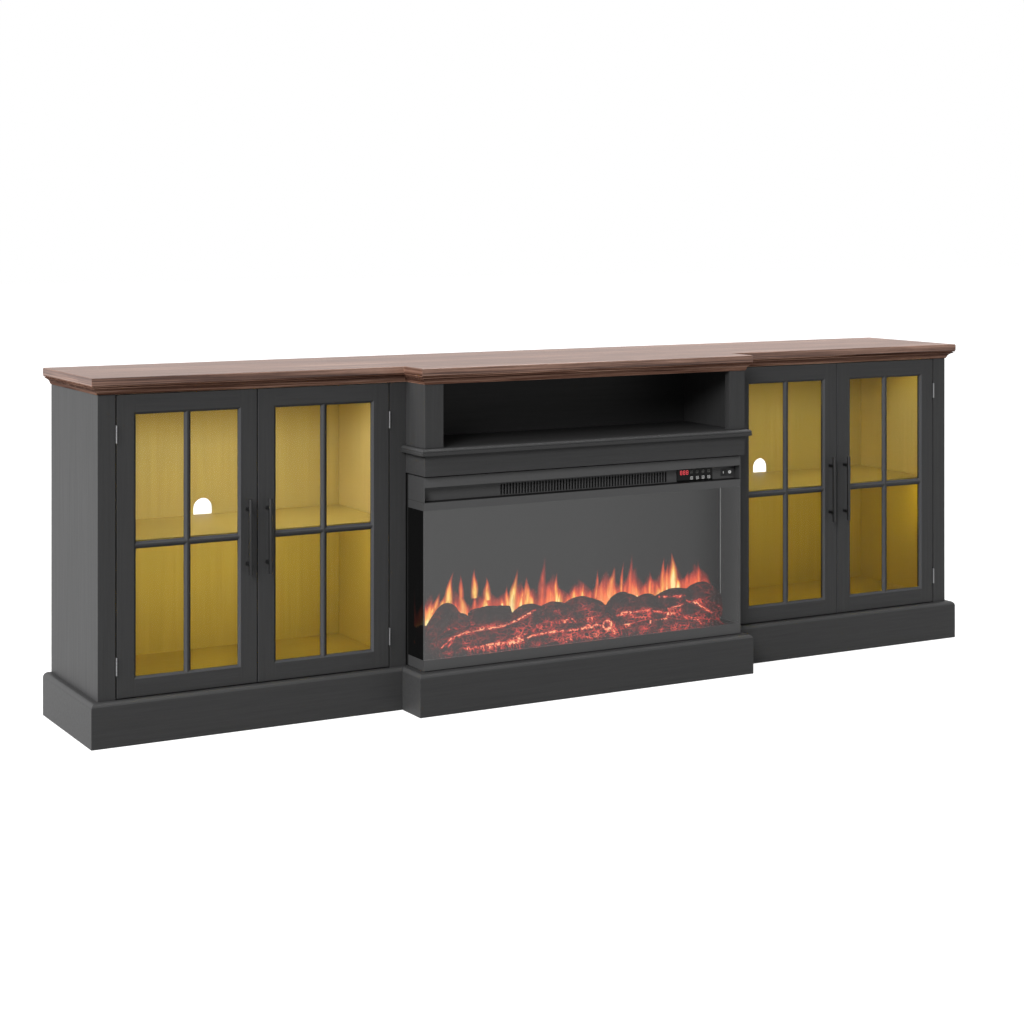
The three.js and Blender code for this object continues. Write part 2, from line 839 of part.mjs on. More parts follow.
// Header: a hollow fascia with a recessed strip, open at the back
function headerFascia() {
  const outer = box([-insertHalf, insertHalf], [insertFrontY, glassBackY], [headerUnderZ, insertTopZ])
  const hollow = without(
    box(
      [-insertInnerHalf, insertInnerHalf],
      [insertFrontY + sheetThickness, glassBackY + cutOverrun],
      [headerFloorTopZ, insertTopZ - sheetThickness],
    ),
    box(
      [-insertHalf, insertHalf],
      [insertFrontY, recessBackY + sheetThickness],
      grown([recessFloorZ, recessTopZ], sheetThickness),
    ),
  )
  const recess = box(
    [-insertInnerHalf, insertInnerHalf],
    [insertFrontY - cutOverrun, recessBackY],
    [recessFloorZ, recessTopZ],
  )
  const wallCut = [recessBackY - cutOverrun, recessBackY + sheetThickness + cutOverrun]
  const slots = []
  for (let slot = 0; slot < slotCount; slot += 1) {
    const left = grilleLeftX + slot * slotPitch
    slots.push(box([left, left + slotWidth], wallCut, [slotFloorZ, slotFloorZ + slotHeight]))
  }
  const panelHole = box(
    grown([panelLeftX, panelLeftX + panelWidth], seatGap),
    wallCut,
    grown([panelFloorZ, panelFloorZ + panelHeight], seatGap),
  )
  const well = box(
    grown(rockerHole.x, sheetThickness),
    [recessBackY, recessBackY + rockerWellDepth],
    grown(rockerHole.z, sheetThickness),
  )
  const wellCut = box(
    rockerHole.x,
    [recessBackY - cutOverrun, recessBackY + rockerWellDepth - sheetThickness],
    rockerHole.z,
  )
  return without(joined(without(outer, hollow, recess), well), ...slots, panelHole, wellCut)
}

// Control panel with a blind well behind each key
function keyMiddle(number) {
  return [panelLeftX + firstKeyX + number * keyPitch, panelFloorZ + keyLift]
}

const keyCount = 4
function controlPanel() {
  const wells = []
  for (let number = 0; number < keyCount; number += 1) {
    const [x, z] = keyMiddle(number)
    const half = keySize / 2 + keyClearance
    const wellBackY = panelFrontY - keyProud + keyLength + keyTravel + keyClearance
    wells.push(box([x - half, x + half], [panelFrontY - cutOverrun, wellBackY], [z - half, z + half]))
  }
  const face = box(
    [panelLeftX, panelLeftX + panelWidth],
    [panelFrontY, panelFrontY + panelThickness],
    [panelFloorZ, panelFloorZ + panelHeight],
  )
  return without(face, ...wells)
}

// Rocker with its left half pressed in, made about its pivot and tilted there
function powerRocker() {
  const shape = new THREE.Shape([
    new THREE.Vector2(-rockerHalfLength, -rockerEndRise),
    new THREE.Vector2(0, -rockerMiddleRise),
    new THREE.Vector2(rockerHalfLength, -rockerEndRise),
    new THREE.Vector2(rockerHalfLength, rockerShoulder),
    new THREE.Vector2(rockerKeel, rockerKeel),
    new THREE.Vector2(-rockerKeel, rockerKeel),
    new THREE.Vector2(-rockerHalfLength, rockerShoulder),
  ])
  const geometry = new THREE.ExtrudeGeometry(shape, { depth: rockerHeight, bevelEnabled: false })
  geometry.translate(0, 0, -rockerHeight / 2)
  geometry.rotateZ(-THREE.MathUtils.degToRad(rockerTilt))
  return solid(geometry)
}

// Glazing, screen and trim
function bottomTrim() {
  const level = [plinthHeight + trimShadowGap, trimTopZ]
  return without(
    box([-insertHalf, insertHalf], [insertFrontY, glassBackY - seatGap], level),
    box(
      [-insertHalf + trimWall, insertHalf - trimWall],
      [insertFrontY + trimWall, glassBackY + cutOverrun],
      grown(level, cutOverrun),
    ),
  )
}

place('firebox_housing', fireboxHousing(), blackMetal)
place('header_fascia', headerFascia(), blackMetal)
place('control_panel', controlPanel(), glossBlack)
const keyBody = box(
  [-keySize / 2, keySize / 2],
  [panelFrontY - keyProud, panelFrontY - keyProud + keyLength],
  [-keySize / 2, keySize / 2],
)
for (let number = 0; number < keyCount; number += 1) {
  const [x, z] = keyMiddle(number)
  place(`key_${number + 1}`, keyBody, softBlack, [x, 0, z])
}
const rockerPivot = [rockerMiddleX, recessBackY + rockerPivotDepth, rockerMiddleZ]
place('power_rocker', powerRocker(), softBlack, rockerPivot)
place('front_glass', box(
  [-insertHalf, insertHalf],
  [insertFrontY, insertFrontY + glassThickness],
  paneLimitsZ,
), fireGlass)
for (const { name, hand } of sides) {
  place(`${name}_glass`, box(
    across(hand, insertHalf - glassThickness, insertHalf),
    [insertFrontY + glassThickness + seatGap, glassBackY - seatGap],
    paneLimitsZ,
  ), fireGlass)
}
place('bottom_trim', bottomTrim(), blackMetal)

// Flame screen, a translucent sheet between the logs and the rotor
const screenThickness = 3
const screenSetback = 1.5
place('flame_screen', box(
  [-insertInnerHalf + seatGap, insertInnerHalf - seatGap],
  [housingFrontY + screenSetback, housingFrontY + screenSetback + screenThickness],
  [housingFloorTopZ + seatGap, headerUnderZ - seatGap],
), screenFilm)

// Log set: an ember bed with logs lying on it, all one moulding
const bedGap = 0.6
const emberPitch = 19
const emberHeight = 3
const bedHeight = 14
const bedRise = 84
const bedColumns = 84
const bedRows = 10
const logReach = 138
const logRadius = 22
const bedHalf = insertHalf - trimWall - bedGap
const bedFrontY = insertFrontY + trimWall + bedGap
const bedDepth = insertGlassDepth - trimWall - 2 * bedGap
const bedFloorZ = housingFloorTopZ + seatGap

// Each log is a row of points: shares of the bed's half width, of its depth, of the logs' reach
// above the floor, and of the logs' usual radius
const logShares = [
  [[-0.93, 0.72, 0.52, 0.9], [-0.80, 0.72, 0.815, 1.12], [-0.69, 0.72, 0.62, 0.9]],
  [[-0.66, 0.72, 0.69, 1.0], [-0.545, 0.70, 0.72, 1.0], [-0.43, 0.72, 0.71, 0.95]],
  [[-0.43, 0.70, 0.50, 0.85], [-0.32, 0.70, 0.72, 0.95], [-0.22, 0.70, 0.60, 0.85]],
  [[-0.245, 0.70, 0.60, 0.85], [-0.15, 0.70, 0.70, 0.95], [-0.06, 0.70, 0.63, 0.85]],
  [[-0.065, 0.70, 0.63, 0.9], [0.035, 0.70, 0.72, 1.0], [0.16, 0.70, 0.605, 0.9]],
  [[0.20, 0.68, 0.50, 0.85], [0.295, 0.70, 0.70, 0.95], [0.39, 0.70, 0.625, 0.9]],
  [[0.365, 0.70, 0.60, 0.85], [0.465, 0.70, 0.65, 0.9], [0.52, 0.70, 0.55, 0.8]],
  [[0.505, 0.70, 0.56, 0.9], [0.615, 0.70, 0.69, 1.0], [0.76, 0.70, 0.66, 0.9]],
  [[0.74, 0.68, 0.69, 0.85], [0.83, 0.68, 0.765, 1.0], [0.92, 0.66, 0.56, 0.9], [0.945, 0.64, 0.26, 0.8]],
  [[-0.875, 0.36, 0.20, 0.7], [-0.775, 0.39, 0.37, 0.8], [-0.57, 0.39, 0.41, 0.82], [-0.40, 0.43, 0.49, 0.82],
    [-0.29, 0.52, 0.62, 0.75]],
  [[-0.365, 0.27, 0.25, 0.7], [-0.135, 0.29, 0.345, 0.78], [0.09, 0.27, 0.33, 0.78], [0.17, 0.33, 0.42, 0.7]],
  [[0.215, 0.40, 0.46, 0.75], [0.365, 0.42, 0.55, 0.78], [0.555, 0.46, 0.47, 0.72]],
  [[0.68, 0.40, 0.52, 0.72], [0.785, 0.38, 0.415, 0.74], [0.90, 0.38, 0.23, 0.68]],
  [[0.27, 0.22, 0.19, 0.62], [0.525, 0.24, 0.25, 0.66], [0.75, 0.22, 0.18, 0.6]],
]
const logSides = 10
const logRings = 9
const knobShare = 0.09
const endTaperShare = 0.3
const knobsRound = 3
const knobsAlong = 11

// A bent, knobbly log: a unit cylinder swept along the log's points
function bentLog(shares) {
  const spine = new THREE.CatmullRomCurve3(shares.map(([x, y, z]) => new THREE.Vector3(
    x * bedHalf,
    bedFrontY + y * bedDepth,
    bedFloorZ + z * logReach,
  )))
  const girth = new THREE.SplineCurve(shares.map((row, place) => new THREE.Vector2(
    place / (shares.length - 1),
    row[3] * logRadius,
  )))
  const geometry = new THREE.CylinderGeometry(1, 1, 1, logSides, logRings)
  const corner = new THREE.Vector3()
  const positions = geometry.attributes.position
  for (let vertex = 0; vertex < positions.count; vertex += 1) {
    corner.fromBufferAttribute(positions, vertex)
    const along = THREE.MathUtils.clamp(corner.y + 1 / 2, 0, 1)
    const turn = Math.atan2(corner.z, corner.x)
    const reach = Math.hypot(corner.x, corner.z)
    const knob = 1 + knobShare * Math.sin(knobsRound * turn + knobsAlong * along)
    const taper = 1 - endTaperShare * Math.abs(2 * along - 1) ** 6
    const radius = girth.getPoint(along).y * reach * knob * taper
    const forward = spine.getTangent(along)
    const sideways = new THREE.Vector3().crossVectors(forward, new THREE.Vector3(0, 0, 1)).normalize()
    const upwards = new THREE.Vector3().crossVectors(sideways, forward)
    const spot = spine.getPoint(along)
    spot.addScaledVector(sideways, radius * Math.cos(turn))
    spot.addScaledVector(upwards, radius * Math.sin(turn))
    positions.setXYZ(vertex, spot.x, spot.y, spot.z)
  }
  return solid(geometry)
}

// Ember bed: a slab whose upper face rises to the back in small lumps
function emberBed() {
  const geometry = new THREE.BoxGeometry(2 * bedHalf, bedDepth, bedHeight, bedColumns, bedRows, 1)
  geometry.translate(0, bedFrontY + bedDepth / 2, bedFloorZ + bedHeight / 2)
  const positions = geometry.attributes.position
  for (let vertex = 0; vertex < positions.count; vertex += 1) {
    if (positions.getZ(vertex) > bedFloorZ + bedHeight / 2) {
      const x = positions.getX(vertex)
      const y = positions.getY(vertex)
      const backShare = (y - bedFrontY) / bedDepth
      const wave = Math.sin(2 * Math.PI * x / emberPitch + Math.sin(y / emberPitch))
      const ripple = Math.sin(2 * Math.PI * (y + x / 3) / emberPitch)
      const lump = emberHeight * (wave * ripple + Math.sin(x / emberPitch)) / 2
      positions.setZ(vertex, bedFloorZ + bedHeight + emberHeight + bedRise * backShare + lump)
    }
  }
  return solid(geometry)
}

// The logs keep inside the space between the panes, the trim and the screen
const logSpace = box(
  [-bedHalf, bedHalf],
  [bedFrontY, bedFrontY + bedDepth],
  [bedFloorZ, headerUnderZ - seatGap],
)
place('log_set', joined(emberBed(), ...logShares.map(bentLog)).intersect(logSpace), charredLog)

// Fan drum: end and middle discs joined by blades, on a shaft
function fanDrum() {
  const [y, z] = drumCentre
  const [left, right] = drumLimitsX
  const cell = (right - left - drumEndThickness) / drumCells
  const shaftEnd = tabGap + 2 * sheetThickness
  const pieces = [rod('x', drumCentre, shaftRadius, left - shaftEnd, right + shaftEnd)]
  for (let disc = 0; disc <= drumCells; disc += 1) {
    const discX = left + disc * cell
    pieces.push(rod('x', drumCentre, drumRadius, discX, discX + drumEndThickness))
  }
  for (let blade = 0; blade < drumBlades; blade += 1) {
    const geometry = new THREE.BoxGeometry(right - left, drumBladeWidth, drumBladeThickness)
    geometry.translate(0, drumRadius - drumBladeWidth / 2 - seatGap, 0)
    geometry.rotateX(2 * Math.PI * blade / drumBlades)
    geometry.translate((left + right) / 2, y, z)
    pieces.push(solid(geometry))
  }
  return joined(...pieces)
}

// Flame rotor: a shaft with vanes set round it in a spiral
function flameRotor() {
  const [y, z] = rotorCentre
  const shaftHalf = rotorHalf + tabGap + 2 * sheetThickness
  const pieces = [rod('x', rotorCentre, shaftRadius, -shaftHalf, shaftHalf)]
  const pitch = (2 * rotorHalf - vaneLength) / (vaneCount - 1)
  for (let vane = 0; vane < vaneCount; vane += 1) {
    const geometry = new THREE.BoxGeometry(vaneLength, vaneRadius, vaneThickness)
    geometry.translate(0, vaneRadius / 2, 0)
    geometry.rotateX(THREE.MathUtils.degToRad(vaneTurn * vane))
    geometry.translate(-rotorHalf + vaneLength / 2 + vane * pitch, y, z)
    pieces.push(solid(geometry))
  }
  return joined(...pieces)
}

place('fan_drum', fanDrum(), softBlack)
place('flame_rotor', flameRotor(), steel)

// Cord gland: a neck through the housing's back with a flange outside, bored for the cord
function cordGland() {
  const innerEnd = housingBackY - sheetThickness - glandTail
  const outerEnd = housingBackY + glandNoseLength
  const flangeFrontY = housingBackY + seatGap
  return without(
    joined(
      rod('y', glandCentre, glandNeckRadius, innerEnd, outerEnd),
      rod('y', glandCentre, glandFlangeRadius, flangeFrontY, flangeFrontY + glandFlangeThickness),
    ),
    rod('y', glandCentre, glandBoreRadius, innerEnd - cutOverrun, outerEnd + cutOverrun),
  )
}
place('cord_gland', cordGland(), softBlack)

export default stand
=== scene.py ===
# Fireplace TV stand, dressed for the photograph. Metres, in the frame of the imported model: +X to the
# right seen from the front, the front faces -Y, +Z up, and the floor is at z = 0.
import math
import bpy
from mathutils import Matrix, Vector
from mathutils import noise as lumps


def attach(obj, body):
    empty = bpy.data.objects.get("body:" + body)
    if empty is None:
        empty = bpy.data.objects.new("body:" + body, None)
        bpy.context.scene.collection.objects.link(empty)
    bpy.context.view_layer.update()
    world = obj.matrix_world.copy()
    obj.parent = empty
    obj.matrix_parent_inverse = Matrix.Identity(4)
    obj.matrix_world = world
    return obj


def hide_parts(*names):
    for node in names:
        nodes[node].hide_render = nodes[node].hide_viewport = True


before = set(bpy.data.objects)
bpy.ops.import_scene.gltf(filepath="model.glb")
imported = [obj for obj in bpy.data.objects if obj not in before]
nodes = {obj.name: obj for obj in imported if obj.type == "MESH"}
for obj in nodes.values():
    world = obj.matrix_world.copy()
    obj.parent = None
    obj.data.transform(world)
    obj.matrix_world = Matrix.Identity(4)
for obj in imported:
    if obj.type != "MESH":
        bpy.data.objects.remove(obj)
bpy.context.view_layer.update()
bpy.ops.object.select_all(action="DESELECT")

# The view: the stand seen from its left front at standing height, through a long lens that is held
# level and shifted down.
bpy.ops.object.camera_add(
    location=(-2.5654, -4.3917, 1.1463),
    rotation=(math.radians(90), 0, math.radians(-29.3)),
)
view = bpy.context.object
view.name = "view"
view.data.sensor_width = 36.0
view.data.lens = 71.6
view.data.shift_y = -0.2877
view.data.clip_end = 60
bpy.context.scene.camera = view
bpy.context.scene.view_settings.view_transform = "Standard"

# The room: a white studio. What the camera, a mirror or a pane sees of it is plain white, and what
# lights matt surfaces is softer.
sky_light = 0.12


def put(tree, value, socket):
    # Another node's output is linked in, and a plain value is set
    if isinstance(value, bpy.types.NodeSocket):
        tree.links.new(value, socket)
    else:
        socket.default_value = value


def fed(tree, node, **inputs):
    for name, value in inputs.items():
        put(tree, value, node.inputs[name.replace("_", " ")])
    return node


def added(tree, kind, settings=(), **inputs):
    node = tree.nodes.new(kind)
    for name, value in dict(settings).items():
        setattr(node, name, value)
    return fed(tree, node, **inputs)


def reckoned(tree, operation, *values, kind="ShaderNodeMath"):
    node = added(tree, kind, {"operation": operation})
    for value, socket in zip(values, node.inputs):
        put(tree, value, socket)
    return node.outputs[0]


def spread(tree, value, low, high, start=0.0, end=1.0):
    # Low up to the value's start, high from its end on, and evenly in between
    return added(
        tree, "ShaderNodeMapRange", Value=value, From_Min=start, From_Max=end, To_Min=low, To_Max=high,
    ).outputs["Result"]


def seen_ray(tree):
    rays = added(tree, "ShaderNodeLightPath").outputs
    straight = reckoned(tree, "MAXIMUM", rays["Is Camera Ray"], rays["Is Glossy Ray"])
    return reckoned(tree, "MAXIMUM", straight, rays["Is Transmission Ray"])


room = bpy.data.worlds.new("white_studio")
room.use_nodes = True
bpy.context.scene.world = room
tree = room.node_tree
fed(
    tree, tree.nodes["Background"], Color=(1, 1, 1, 1),
    Strength=spread(tree, seen_ray(tree), sky_light, 1.0),
)

# The floor: a pale matt sheet that takes the stand's soft shadow. Where it is seen it also shines by
# itself, so that it runs into the white room.
floor_glow = 0.88
bpy.ops.mesh.primitive_plane_add(size=60, location=(0, 0, 0))
floor = bpy.context.object
floor.name = "floor"


def new_finish(name, **inputs):
    finish = bpy.data.materials.new(name)
    finish.use_nodes = True
    tree = finish.node_tree
    return finish, tree, fed(tree, tree.nodes["Principled BSDF"], **inputs)


def object_place(tree):
    return added(tree, "ShaderNodeTexCoord").outputs["Object"]


def parted(tree, vector):
    return added(tree, "ShaderNodeSeparateXYZ", Vector=vector).outputs


def multiplied(tree, product, *others):
    for other in others:
        product = reckoned(tree, "MULTIPLY", product, other)
    return product


def within(tree, value, middle, reach):
    return reckoned(tree, "COMPARE", value, middle, reach)


paper, tree, face = new_finish(
    "floor_paper", Base_Color=(0.3, 0.3, 0.3, 1), Roughness=1.0, Specular_IOR_Level=0.0,
    Emission_Color=(1, 1, 1, 1),
)
place = object_place(tree)
split = parted(tree, place)
# The paper isn't lifted to white under the cabinets, where the gap below the doors would show it
under_cabinets = multiplied(
    tree, within(tree, split["X"], 0.0, 1.21), within(tree, split["Y"], 0.049, 0.178))
# Further out, where the lamps' light fades, the sheet's own light takes over
from_stand = added(tree, "ShaderNodeVectorMath", {"operation": "LENGTH"}, Vector=place).outputs["Value"]
far_lift = spread(tree, from_stand, 1.0, 1.22, 1.6, 4.5)
fed(tree, face, Emission_Strength=multiplied(
    tree, spread(tree, seen_ray(tree), 0.0, floor_glow), far_lift,
    reckoned(tree, "SUBTRACT", 1.0, under_cabinets),
))
floor.data.materials.append(paper)

# The lamps: a large soft box on the stand's left for its left faces, one above it for the top, and
# a broad bank far off at the left front, which lights all the fronts alike.


def soft_box(name, place, aim, size, power):
    bpy.ops.object.light_add(type="AREA", location=place)
    lamp = bpy.context.object
    lamp.name = name
    lamp.data.size = size
    lamp.data.energy = power
    lamp.rotation_euler = (Vector(aim) - Vector(place)).to_track_quat("-Z", "Y").to_euler()


soft_box("left_soft_box", (-10.0, -0.6, 5.95), (0, 0, 0.4), 4.9, 1690)
soft_box("top_soft_box", (1.6, 0.3, 4.4), (0.8, 0, 0.8), 2.4, 175)
bpy.ops.object.light_add(type="SUN")
bank = bpy.context.object
bank.name = "front_bank"
bank.data.energy = 3.05
bank.data.angle = math.radians(24)
bank.rotation_euler = Vector((0.62, 0.60, -0.43)).to_track_quat("-Z", "Y").to_euler()

# Sides and plinths: boards covered in charcoal foil with a printed wood grain, upright on the sides
# and level on the plinths, which go round the foot of each section.


def noise(tree, vector, scale, **others):
    return added(tree, "ShaderNodeTexNoise", Vector=vector, Scale=scale, **others).outputs["Fac"]


grain = bpy.data.node_groups.new("wood_grain", "ShaderNodeTree")
for label, way, kind in (
    ("Place", "INPUT", "NodeSocketVector"), ("Fineness", "INPUT", "NodeSocketFloat"),
    ("Stretch", "INPUT", "NodeSocketFloat"), ("Streaks", "OUTPUT", "NodeSocketFloat"),
    ("Pores", "OUTPUT", "NodeSocketFloat"),
):
    grain.interface.new_socket(label, in_out=way, socket_type=kind)
given = added(grain, "NodeGroupInput").outputs
along = reckoned(grain, "DIVIDE", 1.0, given["Stretch"])
squeeze = added(grain, "ShaderNodeCombineXYZ", X=1.0, Y=1.0, Z=along).outputs["Vector"]
drawn = reckoned(grain, "MULTIPLY", given["Place"], squeeze, kind="ShaderNodeVectorMath")
streaks = noise(grain, drawn, given["Fineness"], Detail=6.0, Roughness=0.62, Distortion=0.4)
pores = noise(grain, drawn, multiplied(grain, given["Fineness"], 11.0), Detail=2.0, Roughness=0.5)
fed(
    grain, added(grain, "NodeGroupOutput"), Streaks=spread(grain, streaks, 0.0, 1.0, 0.32, 0.68),
    Pores=spread(grain, pores, 0.0, 1.0, 0.56, 0.72),
)


def grained(tree, place, fineness, stretch):
    return added(
        tree, "ShaderNodeGroup", {"node_tree": grain}, Place=place, Fineness=fineness, Stretch=stretch,
    ).outputs


def tones(tree, share, stops):
    ramp = added(tree, "ShaderNodeValToRGB", Fac=share)
    knots = ramp.color_ramp.elements
    for knot, (position, shade) in ((knots[0], stops[0]), (knots[1], stops[-1])):
        knot.position = position
        knot.color = (*shade, 1)
    for position, shade in stops[1:-1]:
        knots.new(position).color = (*shade, 1)
    return ramp.outputs["Color"]


def blended(tree, share, first, second):
    blend = added(tree, "ShaderNodeMix", {"data_type": "RGBA"})
    for value, number in ((share, 0), (first, 6), (second, 7)):
        put(tree, value, blend.inputs[number])
    return blend.outputs[2]


def ridged(tree, height, face, strength, distance):
    bump = added(tree, "ShaderNodeBump", Height=height, Strength=strength, Distance=distance)
    fed(tree, face, Normal=bump.outputs["Normal"])


def object_normal(tree):
    return parted(tree, added(tree, "ShaderNodeTexCoord").outputs["Normal"])


def turned(tree, vector, turn):
    angles = tuple(math.radians(part) for part in turn)
    return added(tree, "ShaderNodeMapping", Vector=vector, Rotation=angles).outputs["Vector"]


def foil_face(tree, face, vector, colour_tones, fineness, pore_colour, pore_depth):
    printed = grained(tree, vector, fineness, 30.0)
    fed(tree, face, Roughness=spread(tree, printed["Streaks"], 0.53, 0.49))
    ridged(tree, spread(tree, printed["Pores"], 0.0, -1.0), face, 0.12, 0.0002)
    colour = tones(tree, printed["Streaks"], colour_tones)
    return blended(tree, spread(tree, printed["Pores"], 0.0, pore_depth), colour, (*pore_colour, 1))


def charcoal_face(tree, face, vector):
    charcoal_tones = [
        (0.0, (0.0268, 0.0268, 0.0272)), (0.5, (0.0295, 0.0295, 0.0299)),
        (1.0, (0.0322, 0.0321, 0.0325)),
    ]
    return foil_face(tree, face, vector, charcoal_tones, 150.0, (0.018, 0.018, 0.0185), 0.25)


def highlighted_rounds(tree, colour):
    # Over a rounded edge that looks up the foil is painted a little paler, as a painted highlight where
    # the light from above catches it
    up = object_normal(tree)["Z"]
    upward, not_level = spread(tree, up, 0.0, 1.0, 0.20, 0.50), spread(tree, up, 1.0, 0.0, 0.93, 0.99)
    return blended(tree, multiplied(tree, upward, not_level), colour, (0.042, 0.042, 0.0425, 1))


def charcoal_foil(name, turn):
    finish, tree, face = new_finish(name, Specular_IOR_Level=0.15)
    colour = charcoal_face(tree, face, turned(tree, object_place(tree), turn))
    fed(tree, face, Base_Color=highlighted_rounds(tree, colour))
    return finish


upright = charcoal_foil("charcoal_foil_upright", (0, 0, 0))
level = charcoal_foil("charcoal_foil_level", (0, 90, 0))

# A side board is charcoal outside, and inside the cabinet has a golden foil, whose colour is partly the
# foil's own tone and partly painted warm light from the light bar; it is painted lighter than the back
# panels
lined, tree, face = new_finish("charcoal_foil_lined", Specular_IOR_Level=0.15)
place = object_place(tree)
split = parted(tree, place)
lining = tones(tree, grained(tree, place, 110.0, 30.0)["Streaks"], [
    (0.0, (0.620, 0.485, 0.158)), (0.5, (0.655, 0.515, 0.170)), (1.0, (0.685, 0.540, 0.182)),
])
# Painted shade darkens it near the head of the cabinet, and again under the shelf
shade_near_top = spread(tree, split["Z"], 0.0, 0.75, 0.620, 0.700)
shade_under_shelf = spread(tree, split["Z"], 0.6, 0.0, 0.410, 0.440)
lining = blended(tree, shade_near_top, lining, (0.520, 0.370, 0.060, 1))
lining = blended(tree, shade_under_shelf, lining, (0.400, 0.295, 0.060, 1))
inside = multiplied(
    tree, within(tree, reckoned(tree, "ABSOLUTE", split["X"]), 0.821, 0.3533),
    within(tree, split["Y"], 0.0716, 0.1516), within(tree, split["Z"], 0.44, 0.343),
)
fed(tree, face, Base_Color=blended(tree, inside, charcoal_face(tree, face, place), lining))


def eased(name, width=0.0008):
    weld = nodes[name].modifiers.new("weld", "WELD")
    weld.merge_threshold = 0.00002
    arris = nodes[name].modifiers.new("arris", "BEVEL")
    arris.width = width
    arris.segments = 2
    arris.limit_method = "ANGLE"
    arris.angle_limit = math.radians(35)


def finished(finish, *names):
    for name in names:
        nodes[name].material_slots[0].material = finish


for hand in ("left", "right"):
    finished(lined, f"{hand}_outer_side", f"{hand}_inner_side")
    finished(level, f"{hand}_plinth")
    for board in ("outer_side", "inner_side", "plinth"):
        eased(f"{hand}_{board}")
finished(level, "centre_plinth")
eased("centre_plinth")

# Front rails: a board on edge in charcoal foil, fixed under the front of each base board. The doors'
# lower edges clear it.
hands = (("left", -1), ("right", 1))
cabinet_middle = 0.8215


def started(add, **values):
    bpy.ops.object.select_all(action="DESELECT")
    add(**values)
    bpy.ops.object.mode_set(mode="EDIT")
    bpy.ops.mesh.select_all(action="DESELECT")
    bpy.ops.object.mode_set(mode="OBJECT")
    return bpy.context.object


def boxed(place, size, lean=0.0):
    turn = (0, math.radians(lean), 0)
    block = started(bpy.ops.mesh.primitive_cube_add, size=1, location=place, rotation=turn)
    block.scale = size
    bpy.ops.object.transform_apply(location=True, rotation=True, scale=True)
    return block


def picked_faces(piece, chosen):
    bpy.context.view_layer.objects.active = piece
    bpy.ops.object.mode_set(mode="EDIT")
    bpy.ops.mesh.select_all(action="DESELECT")
    bpy.ops.mesh.select_mode(type="FACE")
    bpy.ops.object.mode_set(mode="OBJECT")
    for flat in piece.data.polygons:
        flat.select = bool(chosen(flat))
    bpy.ops.object.mode_set(mode="EDIT")


def bevelled(piece, chosen, offset, segments):
    picked_faces(piece, chosen)
    bpy.ops.mesh.bevel(offset=offset, segments=segments)
    bpy.ops.object.mode_set(mode="OBJECT")
    return piece


def joined(name, pieces):
    bpy.ops.object.select_all(action="DESELECT")
    for piece in pieces:
        piece.select_set(True)
    bpy.context.view_layer.objects.active = pieces[0]
    if len(pieces) > 1:
        bpy.ops.object.join()
    bpy.ops.object.transform_apply(location=True, rotation=True, scale=True)
    pieces[0].name = name
    pieces[0].data.name = name
    return pieces[0]


def dressed(piece, finish, body):
    piece.data.materials.clear()
    piece.data.materials.append(finish)
    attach(piece, body)


for hand, side in hands:
    rail = boxed((side * cabinet_middle, -0.1032, 0.0786), (0.6596, 0.0212, 0.0376))
    bevelled(rail, lambda flat: True, 0.0006, 2)
    dressed(joined(f"{hand}_front_rail", [rail]), level, "carcass")

# Inside of the cabinets: base boards, shelves and thin back panels in a golden foil, whose colour is
# partly the foil's own tone and partly painted warm light from a light bar behind the head of the
# doors;
# the level boards have a darker copy, as painted shade. The backs' rear faces are bare hardboard.


def mottled(tree, fineness, detail, low, high):
    cloud = noise(tree, object_place(tree), fineness, Detail=detail)
    return tones(tree, cloud, [(0.3, low), (0.7, high)])


def golden_foil(name, turn, colour_tones):
    finish, tree, face = new_finish(name, Specular_IOR_Level=0.3)
    place = object_place(tree)
    split = parted(tree, place)
    colour = foil_face(
        tree, face, turned(tree, place, turn), colour_tones, 110.0, (0.34, 0.25, 0.05), 0.2)
    # Painted shade: darker near the head of the cabinet
    shade_near_top = spread(tree, split["Z"], 0.0, 0.75, 0.600, 0.680)
    colour = blended(tree, shade_near_top, colour, (0.380, 0.262, 0.032, 1))
    hardboard = mottled(tree, 420.0, 4.0, (0.115, 0.066, 0.034), (0.190, 0.118, 0.066))
    rear = within(tree, split["Y"], 0.229, 0.0004)
    fed(tree, face, Base_Color=blended(tree, rear, colour, hardboard))
    return finish


golden_upright = golden_foil("golden_foil_upright", (0, 0, 0), [
    (0.0, (0.418, 0.313, 0.078)), (0.5, (0.446, 0.338, 0.087)), (1.0, (0.470, 0.360, 0.095)),
])
# The level boards' copy is darker: painted shade on the shelves and base boards
shaded_golden_level = golden_foil("golden_foil_level_shaded", (0, 90, 0), [
    (0.0, (0.318, 0.226, 0.041)), (0.5, (0.340, 0.244, 0.046)), (1.0, (0.360, 0.260, 0.051)),
])
for hand, side in hands:
    finished(golden_upright, f"{hand}_back_panel")
    finished(shaded_golden_level, f"{hand}_base_board", f"{hand}_shelf")
    eased(f"{hand}_shelf")

# Light bars: a frosted plastic strip along the head of each cabinet, lit from inside. A lamp before it
# lights the bay over the shelf, and one before the shelf stands for the light that gets further down.
strip_middle = 0.821
diffuser, tree, face = new_finish(
    "frosted_strip", Base_Color=(0.9, 0.85, 0.7, 1), Roughness=0.4, Emission_Strength=3.0)
dots = added(
    tree, "ShaderNodeTexWave", {"wave_type": "BANDS", "bands_direction": "X"},
    Vector=object_place(tree), Scale=9.0,
)
fed(tree, face, Emission_Color=tones(
    tree, dots.outputs["Fac"], [(0.0, (1.0, 0.70, 0.34)), (1.0, (1.0, 0.86, 0.56))]))


def warm_strip(name, place, tilt, cut_off, power, colour):
    bpy.ops.object.light_add(type="AREA", location=place, rotation=(math.radians(tilt), 0, 0))
    strip = bpy.context.object
    strip.name = name
    strip.data.shape = "RECTANGLE"
    strip.data.size = 0.66
    strip.data.size_y = 0.01
    strip.data.energy = power
    strip.data.spread = math.radians(cut_off)
    strip.data.color = colour


